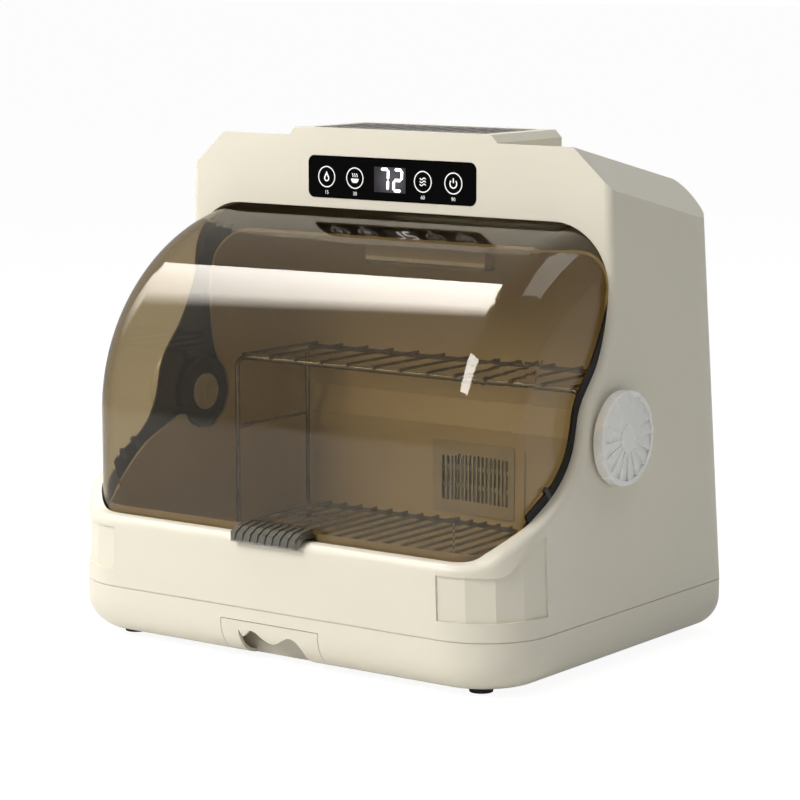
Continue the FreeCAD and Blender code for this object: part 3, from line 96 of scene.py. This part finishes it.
class Finish(Nodes):
    """A procedural material: a Principled shader whose plain sockets are set by name."""

    MIDDLE = (0.3, 0.7)  # nearly all of a noise lies between these

    def __init__(self, name, **plain):
        self.material = bpy.data.materials.new(name)
        self.material.use_nodes = True
        super().__init__(self.material.node_tree)
        for label, value in plain.items():
            socket = self.tree.nodes["Principled BSDF"].inputs[label.replace("_", " ")]
            socket.default_value = value
        self.place = self.node("ShaderNodeTexCoord", {}, out="Object")

    def feed(self, label, channel):
        self.join(channel, "Principled BSDF", label)

    def shade(self, factor, other):
        """Mixes another shader over the Principled one."""
        own = Channel(self, self.tree.nodes["Principled BSDF"].outputs["BSDF"])
        mixed = self.node("ShaderNodeMixShader", {}, factor, own, other)
        self.join(mixed, "Material Output", "Surface")

    def noise(self, scale, detail=3.0, stretch=(1, 1, 1)):
        """Cloudy noise between 0 and 1; scale is in cycles per metre."""
        place = self.node("ShaderNodeVectorMath", {"operation": "MULTIPLY"}, self.place, stretch)
        return self.node("ShaderNodeTexNoise", {}, Vector=place, Scale=scale, Detail=detail)

    def blend(self, factor, first, second):
        """A colour between two colours, each of three numbers."""
        skipped = [None] * 5  # the node's sockets for mixing numbers and vectors
        return self.node("ShaderNodeMix", {"data_type": "RGBA"}, factor, *skipped, (*first, 1.0),
                         (*second, 1.0), out=2)

    def drift(self, colour, spread, scale):
        """A base colour that drifts slightly, as pigment does in a moulding."""
        dark, light = [[c * (1 + k) for c in colour] for k in (-spread, spread)]
        cloud = self.ramp(self.noise(scale), *self.MIDDLE)
        self.feed("Base Color", self.blend(cloud, dark, light))

    def satin(self, low, high, scale, stretch=(1, 1, 1)):
        """Roughness that drifts between low and high."""
        cloud = self.noise(scale, 2.0, stretch)
        self.feed("Roughness", self.ramp(cloud, *self.MIDDLE, low, high))

    def relief(self, height, strength, depth):
        """Fine relief from a height that varies."""
        self.feed("Normal", self.node("ShaderNodeBump", {}, Strength=strength, Distance=depth,
                                      Height=height))


def dress(finish, *names):
    """Gives CAD nodes this finish all over."""
    for name in names:
        materials = nodes[name].data.materials
        materials.clear()
        materials.append(finish.material)


CREAM = (0.80, 0.750, 0.625)
cream = Finish("cream_abs", Coat_Weight=0.10, Coat_Roughness=0.25)
cream.drift(CREAM, 0.015, 8.0)
cream.satin(0.36, 0.44, 60.0)
cream.relief(cream.noise(2200.0, 4.0), 0.16, 0.00003)
dress(cream, "base_housing")

# ---- Feet -----------------------------------------------------------------------------------
# Four black rubber pads pressed into the tray's floor.  Moulded rubber is dull, with a fine
# orange-peel skin and a slightly paler bloom.
rubber = Finish("foot_rubber")
rubber.drift((0.030, 0.030, 0.029), 0.3, 140.0)
rubber.satin(0.65, 0.85, 300.0)
rubber.relief(rubber.noise(1800.0), 0.5, 0.00006)
dress(rubber, "rubber_feet")

# ---- Power board ----------------------------------------------------------------------------
# A green circuit board on four pegs of the tray.  Its solder mask is glossy over copper tracks,
# which show as slightly raised, lighter lines laid out square to the board's edges.
TRACK_PITCH = 0.0042
TRACK_EDGE = (0.34, 0.38)
board = Finish("board_green", Coat_Weight=0.3, Coat_Roughness=0.12)
grid = board.node("ShaderNodeTexVoronoi", {"distance": "CHEBYCHEV", "feature": "F1"},
                  Vector=board.place, Scale=1 / TRACK_PITCH, Randomness=0.55)
tracks = board.ramp(grid, *TRACK_EDGE)
board.feed("Base Color", board.blend(tracks, (0.012, 0.105, 0.045), (0.035, 0.200, 0.085)))
board.satin(0.22, 0.34, 120.0)
board.relief(tracks, 0.4, 0.00005)
dress(board, "power_board")

# ---- Parts on the power board ---------------------------------------------------------------
# A transformer with a stack of steel laminations, electrolytic cans in dark shrunk sleeves and
# two relays in moulded blue cases, all soldered to the board.
LAMINATION_BANDS = 160.0  # bands of the stack's edge per metre
laminations = Finish("steel_laminations", Metallic=0.85)
layers = laminations.node("ShaderNodeTexWave", {"bands_direction": "Z"},
                          Vector=laminations.place, Scale=LAMINATION_BANDS, Distortion=0.3)
laminations.feed("Base Color",
                 laminations.blend(layers, (0.10, 0.095, 0.09), (0.42, 0.41, 0.40)))
laminations.satin(0.35, 0.55, 400.0)
laminations.relief(layers, 0.5, 0.0001)
dress(laminations, "power_transformer")

sleeve = Finish("can_sleeve", Coat_Weight=0.4, Coat_Roughness=0.1)
sleeve.drift((0.018, 0.024, 0.050), 0.25, 90.0)
sleeve.satin(0.25, 0.38, 200.0)
dress(sleeve, "board_capacitors")

relay_case = Finish("relay_case")
relay_case.drift((0.020, 0.105, 0.330), 0.08, 120.0)
relay_case.satin(0.38, 0.50, 250.0)
relay_case.relief(relay_case.noise(2500.0), 0.2, 0.00003)
dress(relay_case, "board_relays")

# ---- Drip tray and drawer front -------------------------------------------------------------
# The drip tray slides out below the fascia behind a front piece with a wavy finger recess.  The
# front is the casing's cream moulding; the tray is thin natural polypropylene, which looks waxy.
dress(cream, "drawer_front")

tray = Finish("tray_plastic", Subsurface_Weight=0.08, Subsurface_Radius=(0.004, 0.003, 0.002))
tray.drift((0.76, 0.74, 0.66), 0.02, 25.0)
tray.satin(0.34, 0.48, 80.0)
tray.relief(tray.noise(1500.0), 0.15, 0.00004)
dress(tray, "drip_tray")

# ---- Liner, drain and air grille ------------------------------------------------------------
# The dish chamber is one pale vacuum-formed and trimmed tub, satin inside.  A moulded spout sits
# under its drain hole and a slotted grille in front of the heater, both in a warm grey.
liner = Finish("liner_plastic", Coat_Weight=0.08, Coat_Roughness=0.3)
liner.drift((0.62, 0.545, 0.40), 0.02, 12.0)
liner.satin(0.34, 0.46, 40.0)
liner.relief(liner.noise(1400.0), 0.15, 0.00004)
dress(liner, "liner")

grey = Finish("grey_plastic")
grey.drift((0.50, 0.47, 0.40), 0.03, 50.0)
grey.satin(0.34, 0.46, 150.0)
grey.relief(grey.noise(2400.0), 0.2, 0.00003)
dress(grey, "drain_spout", "air_grille")

# ---- Heater and fan -------------------------------------------------------------------------
# A finned aluminium heater in a black frame, and an axial fan behind it.  The mouldings are
# glass-filled, so they are matt with pale specks; the motor's can and the cut-out are steel.
SPECK_EDGE = (0.62, 0.74)
filled = Finish("filled_nylon")
specks = filled.ramp(filled.noise(1600.0, 5.0), *SPECK_EDGE)
filled.feed("Base Color", filled.blend(specks, (0.020, 0.020, 0.021), (0.060, 0.060, 0.058)))
filled.satin(0.48, 0.62, 200.0)
filled.relief(filled.noise(1500.0), 0.35, 0.00005)
dress(filled, "heater_frame", "fan_housing", "fan_impeller")

aluminium = Finish("aluminium_sheet", Metallic=1.0)
aluminium.drift((0.74, 0.74, 0.75), 0.06, 60.0)
aluminium.satin(0.26, 0.42, 500.0, (1, 1, 0.08))
aluminium.relief(aluminium.noise(1800.0, 3.0, (1, 1, 0.05)), 0.2, 0.00003)
dress(aluminium, "ptc_heater")

steel = Finish("plain_steel", Metallic=1.0)
steel.drift((0.55, 0.54, 0.53), 0.08, 200.0)
steel.satin(0.26, 0.40, 900.0)
steel.relief(steel.noise(3000.0), 0.15, 0.00002)
dress(steel, "fan_motor", "thermal_cutout")

# ---- Racks ----------------------------------------------------------------------------------
# Wire racks for bowls and plates, spot-welded and then plated in a dark, bright chrome.  The
# drawn wire's faint unevenness shows under the plating.
chrome = Finish("wire_chrome", Metallic=1.0)
chrome.drift((0.27, 0.26, 0.245), 0.08, 90.0)
chrome.satin(0.08, 0.18, 250.0)
chrome.relief(chrome.noise(900.0), 0.10, 0.00005)
dress(chrome, "upper_rack", "lower_rack")

# ---- Outer shell and rear cover -------------------------------------------------------------
# The tall casing has the header, the raised middle of the roof and the fluted corners, and a
# slotted cover is screwed over its back.  Both are the same cream moulding as the tray.
dress(cream, "outer_shell", "rear_cover")

# ---- Side frames, hubs and bumpers ----------------------------------------------------------
# Black moulded plates line the S-shaped edges beside the lid, and the lid's hubs turn against
# them.  Small dark rubbery bumpers pressed into their edges cushion the lid where it closes.
black = Finish("black_plastic", Specular_IOR_Level=0.22)
black.drift((0.010, 0.0095, 0.009), 0.15, 60.0)
black.satin(0.30, 0.42, 120.0)
black.relief(black.noise(2000.0), 0.15, 0.00003)
dress(black, "side_frame_right", "side_frame_left", "hub_right", "hub_left")

bumper = Finish("bumper_elastomer", Transmission_Weight=0.15)
bumper.drift((0.045, 0.043, 0.038), 0.15, 120.0)
bumper.satin(0.40, 0.55, 300.0)
dress(bumper, "lid_bumpers")

# ---- Pivots, inlet and screws ---------------------------------------------------------------
# Plain steel pins turn in black bushes pressed into the shell.  The two-pin inlet is black too,
# and pan-head steel screws hold the shell, the liner and the rear cover.
dress(black, "pivot_bush_right", "pivot_bush_left", "power_inlet")
dress(steel, "pivot_pin_right", "pivot_pin_left", "case_screws", "liner_screws", "cover_screws")

# ---- Display behind the panel ---------------------------------------------------------------
# A small green board stands behind the panel.  It carries a white moulded reflector block with
# the digits' chips, and four steel springs that press against the pane behind the touch keys.
dress(board, "display_board")
dress(steel, "touch_springs")

reflector = Finish("reflector_block")
reflector.drift((0.74, 0.74, 0.73), 0.02, 150.0)
reflector.satin(0.28, 0.36, 300.0)
dress(reflector, "display_module")

# ---- Control panel --------------------------------------------------------------------------
# A glossy black pane let into the header and glued at its back.  Four touch keys are screened on
# it in white ink, as rings with plain marks and minutes, beside a smoked window for two digits.
PANEL_Y = -0.00355     # the pane's face
PANEL_MID = 0.36995    # height of the keys' middles
INK = 0.00006          # thickness of the print
KEYS = (-0.0646, -0.0359, 0.0318, 0.0615)
RING_R = 0.0087
RING_T = 0.0009
RING_POINTS = 48
NUMBERS = ("15", "30", "60", "90")
NUMBER_DROP = 0.0127   # from a key's middle down to its minutes
NUMBER_TALL = 0.0042

pane = Finish("panel_black", Specular_IOR_Level=0.06, IOR=1.5)
pane.drift((0.0012, 0.0012, 0.0013), 0.1, 20.0)
pane.satin(0.07, 0.11, 40.0)
dress(pane, "control_panel")


def arc(x, z, radius, start, end, steps):
    """Points along an arc, both ends with them."""
    turn = [start + (end - start) * i / steps for i in range(steps + 1)]
    return [(x + radius * cos(a), z + radius * sin(a)) for a in turn]


def circle(x, z, radius):
    """Points round a circle, with the first one only once."""
    return arc(x, z, radius, 0.0, 2 * pi, RING_POINTS)[:-1]


def stroke(points, width):
    """The outline of a line of this width through the points."""
    sides = ([], [])
    for i, here in enumerate(points):
        before = Vector(points[max(i - 1, 0)])
        after = Vector(points[min(i + 1, len(points) - 1)])
        along = (after - before).normalized()
        across = Vector((-along.y, along.x)) * width / 2
        sides[0].append(tuple(Vector(here) + across))
        sides[1].append(tuple(Vector(here) - across))
    return sides[0] + sides[1][::-1]


def lay(name, curve, finish, out=0.0):
    """Turns a flat outline into a thin printed piece on the pane's face, or out in front of it."""
    curve.dimensions = "2D"
    curve.fill_mode = "BOTH"
    curve.extrude = INK / 2
    # the outline's own x and y become x and z on the pane
    mesh = bpy.data.meshes.new_from_object(bpy.data.objects.new(name + "_outline", curve))
    mesh.transform(Matrix(((1, 0, 0, 0), (0, 0, -1, PANEL_Y - INK / 2 - out), (0, 1, 0, 0),
                           (0, 0, 0, 1))))
    mesh.materials.clear()
    mesh.materials.append(finish.material)
    piece = bpy.data.objects.new(name, mesh)
    bpy.context.scene.collection.objects.link(piece)
    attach(piece, "cabinet")
    return piece


def printed(name, loops, finish, out=0.0):
    """A print of closed loops; a loop inside another is a hole in it."""
    curve = bpy.data.curves.new(name, "CURVE")
    for loop in loops:
        spline = curve.splines.new("POLY")
        spline.points.add(len(loop) - 1)
        for point, (x, z) in zip(spline.points, loop):
            point.co = (x, z, 0, 1)
        spline.use_cyclic_u = True
    lay(name, curve, finish, out)


# The white ink also gets a faint emission with a drifting colour: a painted glow that brightens the
# print, though no lamp is behind the pane.
ink_and_glow = Finish("key_ink_painted_glow", Emission_Strength=0.30)
ink_and_glow.drift((0.78, 0.78, 0.76), 0.02, 200.0)
ink_and_glow.satin(0.40, 0.50, 400.0)
ink_and_glow.feed("Emission Color", ink_and_glow.blend(ink_and_glow.noise(300.0), (0.9, 0.9, 0.88), (1.0, 1.0, 0.98)))

rings = []
for x in KEYS:
    rings += [circle(x, PANEL_MID, RING_R), circle(x, PANEL_MID, RING_R - RING_T)]
printed("key_rings", rings, ink_and_glow)

# the keys' marks, in millimetres from the middle of each key
THIN = 0.8
BOLD = 1.1
drop = [(0, 4.6), (1.5, 1.9), (2.6, -0.2), (2.7, -1.6), (1.9, -3.2), (0, -3.9), (-1.9, -3.2),
        (-2.7, -1.6), (-2.6, -0.2), (-1.5, 1.9)]
drop_hole = [(0.55 * x, 0.55 * z - 0.7) for x, z in drop]
bowl = [(-4.0, -0.4), (4.0, -0.4), (3.4, -2.4), (2.0, -3.9), (-2.0, -3.9), (-3.4, -2.4)]
wisp = [(0.4 * sin(k), 0.8 + 0.62 * k) for k in range(6)]
wave = [(0.5 * k, 0.75 * sin(0.5 * k * pi / 2.6)) for k in range(-6, 7)]
standby = arc(0, -0.3, 3.3, -1.25 * pi, 0.25 * pi, 24)
marks = {
    "key_mark_drop": [drop, drop_hole],
    "key_mark_bowl": [bowl] + [stroke([(x + across, z) for x, z in wisp], THIN)
                               for across in (-2.1, 0.0, 2.1)],
    "key_mark_air": [stroke([(x, z + up) for x, z in wave], THIN) for up in (-2.4, 0, 2.4)],
    "key_mark_standby": [stroke(standby, BOLD), stroke([(0, 0.4), (0, 4.2)], BOLD)],
}
for key, (name, loops) in zip(KEYS, marks.items()):
    on_key = [[(key + x / 1000, PANEL_MID + z / 1000) for x, z in loop] for loop in loops]
    printed(name, on_key, ink_and_glow)

for x, number in zip(KEYS, NUMBERS):
    lettering = bpy.data.curves.new("minutes_" + number, "FONT")
    lettering.body = number
    lettering.size = NUMBER_TALL
    lettering.align_x = "CENTER"
    lettering.align_y = "CENTER"
    label = lay("key_minutes_" + number, lettering, ink_and_glow)
    label.data.transform(Matrix.Translation((x, 0, PANEL_MID - NUMBER_DROP)))

# ---- Display window and digits --------------------------------------------------------------
# A clear patch left in the pane's black print, over a smoked film with a painted glow of the
# digits' light, brightest round the two lit digits.  Each digit is made of straight bars with
# pointed ends.
WINDOW = (-0.0164, 0.0148, -0.0102, 0.0102)  # x and z from the panel's middle
PAINTED_GLOW_AT = 0.0015                             # x of the middle of the painted glow
PAINTED_GLOW_R = (0.004, 0.017)
DIGIT = (0.0076, 0.0168)                     # from middle to middle of the bars, across and up
DIGIT_STROKE = 0.0025
DIGIT_LEAN = 0.05
DIGITS = ((-0.0102, "abc"), (0.0033, "abged"))  # left edge and lit bars
# ends of each bar, in shares of the digit's width and height
BARS = {"a": ((0, 1), (1, 1)), "b": ((1, 1), (1, 0.5)), "c": ((1, 0.5), (1, 0)),
        "d": ((0, 0), (1, 0)), "e": ((0, 0.5), (0, 0)), "g": ((0, 0.5), (1, 0.5))}
BAR_END = (0.15, 1.1)  # in half widths: how far its point and its shoulders stand from its end

smoked = Finish("display_window", Specular_IOR_Level=0.1, Emission_Strength=1.0)
smoked.drift((0.030, 0.028, 0.031), 0.1, 90.0)
smoked.satin(0.10, 0.16, 60.0)
# painted glow: the film's emission is strongest near the digits and faint over the rest of the
# window
away = smoked.node("ShaderNodeVectorMath", {"operation": "DISTANCE"}, smoked.place,
                   (PAINTED_GLOW_AT, PANEL_Y, PANEL_MID), out="Value")
smoked.feed("Emission Color", smoked.blend(smoked.ramp(away, *PAINTED_GLOW_R), (0.085, 0.08, 0.09),
                                           (0.012, 0.011, 0.013)))
x0, x1, z0, z1 = WINDOW
corners = [(x0, z0), (x1, z0), (x1, z1), (x0, z1)]
printed("display_window", [[(x, PANEL_MID + z) for x, z in corners]], smoked)

lit = Finish("display_digits", Emission_Strength=1.6)
lit.drift((0.8, 0.8, 0.82), 0.02, 300.0)
lit.satin(0.35, 0.45, 300.0)
lit.feed("Emission Color", lit.blend(lit.noise(400.0), (0.93, 0.93, 1.0), (1.0, 1.0, 1.0)))
wide, tall = DIGIT
half = DIGIT_STROKE / 2
point, shoulder = [share * half for share in BAR_END]
bars = []
for left, lit_bars in DIGITS:
    for bar in lit_bars:
        start, end = [Vector((left + x * wide, (z - 0.5) * tall)) for x, z in BARS[bar]]
        along = (end - start).normalized()
        across = Vector((-along.y, along.x)) * half
        outline = [start + along * point, start + along * shoulder + across,
                   end - along * shoulder + across, end - along * point,
                   end - along * shoulder - across, start + along * shoulder - across]
        bars.append([(p.x + DIGIT_LEAN * p.y, p.y + PANEL_MID) for p in outline])
printed("display_digits", bars, lit, INK)

# ---- Ultraviolet lamp -----------------------------------------------------------------------
# A short aluminium strip screwed under the liner's roof.  It carries a row of yellow chips
# behind a clear moulded lens.
dress(aluminium, "uv_strip")

lens = Finish("lamp_lens", Transmission_Weight=0.9, IOR=1.46)
lens.drift((0.86, 0.88, 0.90), 0.02, 60.0)
lens.satin(0.04, 0.09, 60.0)
dress(lens, "uv_lens")

chips = Finish("lamp_chips", Coat_Weight=0.5, Coat_Roughness=0.1)
chips.drift((0.72, 0.55, 0.08), 0.08, 400.0)
chips.satin(0.3, 0.4, 400.0)
dress(chips, "uv_leds")

# ---- Roof vent ------------------------------------------------------------------------------
# A dark slotted panel pressed into the raised middle of the roof.  It is moulded in brown-black
# plastic, a little glossier than the side frames.
vent = Finish("vent_black", Coat_Weight=0.1, Coat_Roughness=0.2)
vent.drift((0.085, 0.070, 0.052), 0.1, 40.0)
vent.satin(0.24, 0.34, 80.0)
vent.relief(vent.noise(1800.0), 0.12, 0.00003)
dress(vent, "top_vent_panel")

# ---- Lid ------------------------------------------------------------------------------------
# One curved cover in smoked clear polycarbonate, injection moulded and polished on both faces.
# It shows dark brown over the chamber and light brown where daylight comes through its ends.
LID_SMOKE = (0.49, 0.38, 0.12)  # the colour that the plastic lets through
LID_DENSITY = 400.0             # how strongly it takes up the rest, per metre
LID_SHADOW = (0.95, 0.95, 0.95, 1.0)  # what is left of a lamp's light inside the chamber
lid = Finish("smoke_lid", Transmission_Weight=1.0, IOR=1.45)
lid.feed("Base Color", lid.blend(lid.noise(5.0, 2.0), (0.985, 0.985, 0.98), (1.0, 1.0, 0.995)))
lid.satin(0.003, 0.008, 14.0)
clear = lid.node("ShaderNodeBsdfTransparent", {}, LID_SHADOW)
lid.shade(lid.node("ShaderNodeLightPath", {}, out="Is Shadow Ray"), clear)
smoke = lid.node("ShaderNodeVolumeAbsorption", {}, (*LID_SMOKE, 1.0), LID_DENSITY)
lid.join(smoke, "Material Output", "Volume")
dress(lid, "lid")

# ---- Lid handle -----------------------------------------------------------------------------
# A ribbed grip bonded to the lid's foot, in translucent grey-beige plastic that lets a little
# light into its edges.
grip = Finish("handle_clear", Transmission_Weight=0.25, IOR=1.46, Coat_Weight=1.0,
              Coat_Roughness=0.04)
grip.drift((0.150, 0.142, 0.120), 0.08, 60.0)
grip.satin(0.10, 0.18, 160.0)
grip.relief(grip.noise(1500.0), 0.12, 0.00003)
dress(grip, "lid_handle")

# ---- Hub caps and pivot caps ----------------------------------------------------------------
# Inside, a grey cap with a coin slot snaps on each hub.  Outside, a glossy white faceted knob
# covers the pin's end on each side wall.
cap = Finish("hub_cap_grey")
cap.drift((0.62, 0.60, 0.54), 0.03, 90.0)
cap.satin(0.28, 0.38, 200.0)
cap.relief(cap.noise(2200.0), 0.15, 0.00003)
dress(cap, "hub_cap_right", "hub_cap_left")

knob = Finish("white_abs", Coat_Weight=0.35, Coat_Roughness=0.08)
knob.drift((0.90, 0.895, 0.865), 0.012, 30.0)
knob.satin(0.22, 0.30, 90.0)
dress(knob, "pivot_cap_right", "pivot_cap_left")

# ---- Floor and room -------------------------------------------------------------------------
# A pale painted floor in a white room.  Both show plain white where they are seen directly or
# through the lid, and partly so in gloss; the floor keeps the cabinet's soft shadow.
FLOOR_HALF = 30.0
FLOOR_SHARE = 0.76  # share of the plain white over the lit floor
FLOOR_LEVEL = 1.22  # strength of that white
ROOM_LIGHT = 0.27   # strength of the room's light on the cabinet
ROOM_GLOSS = 0.3    # share of the plain white that gloss shows


def plain_view(finish):
    """1 where the room is seen directly or through glass, less in gloss, 0 where it gives light."""
    path = {label: finish.node("ShaderNodeLightPath", {}, out=label)
            for label in ("Is Camera Ray", "Is Transmission Ray", "Is Glossy Ray", "Diffuse Depth")}
    seen = path["Is Camera Ray"] + path["Is Transmission Ray"] + path["Is Glossy Ray"] * ROOM_GLOSS
    lighting = finish.ramp(path["Diffuse Depth"], 0.0, 1.0)
    return finish.ramp(seen, 0.0, 1.0) * (1.0 - lighting)


ground = Finish("floor_white", Roughness=0.6, Specular_IOR_Level=0.0)
ground.drift((0.80, 0.80, 0.79), 0.01, 3.0)
white = ground.node("ShaderNodeEmission", {}, (1.0, 1.0, 1.0, 1.0), FLOOR_LEVEL)
ground.shade(FLOOR_SHARE * plain_view(ground), white)
plane = bmesh.new()
bmesh.ops.create_grid(plane, x_segments=4, y_segments=4, size=FLOOR_HALF)
floor_mesh = bpy.data.meshes.new("floor")
plane.to_mesh(floor_mesh)
plane.free()
floor_mesh.materials.append(ground.material)
floor = bpy.data.objects.new("floor", floor_mesh)
bpy.context.scene.collection.objects.link(floor)

world = bpy.data.worlds.new("room")
bpy.context.scene.world = world
world.use_nodes = True
room = Nodes(world.node_tree)
room.join(ROOM_LIGHT + (1.0 - ROOM_LIGHT) * plain_view(room), "Background", "Strength")
room.tree.nodes["Background"].inputs["Color"].default_value = (1.0, 1.0, 1.0, 1.0)


# ---- Lamps ----------------------------------------------------------------------------------
# A softbox in front and above, and a cooler, weaker one above the rear right for the roof.  A
# bank overhead on the left fades towards two sides, and draws the soft band across the lid.
BANK_ALONG = (0.0, 1.0, 0.05, 1.6)      # from and to along the bank, and its level at each
BANK_ACROSS = (0.38, 0.54, 1.85, 0.05)  # the same across it


def softbox(name, place, target, across, along, power, colour):
    """A rectangular lamp that faces its target; power is in watts."""
    lamp = bpy.data.lights.new(name, "AREA")
    lamp.shape = "RECTANGLE"
    lamp.size, lamp.size_y = across, along
    lamp.energy = power
    lamp.color = colour
    holder = bpy.data.objects.new(name, lamp)
    bpy.context.scene.collection.objects.link(holder)
    holder.location = place
    ahead = (Vector(target) - Vector(place)).normalized()
    holder.rotation_euler = ahead.to_track_quat("-Z", "Y").to_euler()
    return lamp


softbox("front_softbox", (-0.62, -1.72, 1.48), (0, 0, 0.18), 0.8, 0.8, 29.0, (1.0, 0.99, 0.97))
bank = softbox("overhead_bank", (-1.00, -0.51, 1.245), (0, -0.1, 0.26), 1.0, 1.365, 22.0,
               (1.0, 0.99, 0.97))
softbox("rear_softbox", (0.75, 0.45, 1.90), (0, 0, 0.35), 1.0, 1.0, 6.5, (0.92, 0.97, 1.0))

bank.use_nodes = True
glow = Nodes(bank.node_tree)
face = glow.node("ShaderNodeNewGeometry", {}, out="Parametric")
across, along = [glow.node("ShaderNodeSeparateXYZ", {}, face, out=axis) for axis in ("X", "Y")]
fade = glow.node("ShaderNodeMapRange", {"interpolation_type": "SMOOTHSTEP"}, along, *BANK_ALONG)
glow.join(fade * glow.ramp(across, *BANK_ACROSS), "Emission", "Strength")

# ---- Camera ---------------------------------------------------------------------------------
# A long lens stands at the front right, a little above the roof, and looks slightly down.  Its
# turn is from straight ahead towards the left.
CAMERA_AT = (1.3786, -1.8744, 0.5432)
TURN = radians(36.2)
DOWN = radians(8.6)
LENS = 130.5   # millimetres
SENSOR = 36.0  # millimetres
optics = bpy.data.cameras.new("camera")
optics.lens = LENS
optics.sensor_width = SENSOR
camera = bpy.data.objects.new("camera", optics)
bpy.context.scene.collection.objects.link(camera)
camera.location = CAMERA_AT
view = Vector((-sin(TURN) * cos(DOWN), cos(TURN) * cos(DOWN), -sin(DOWN)))
camera.rotation_euler = view.to_track_quat("-Z", "Y").to_euler()
bpy.context.scene.camera = camera
bpy.context.scene.view_settings.view_transform = "Standard"
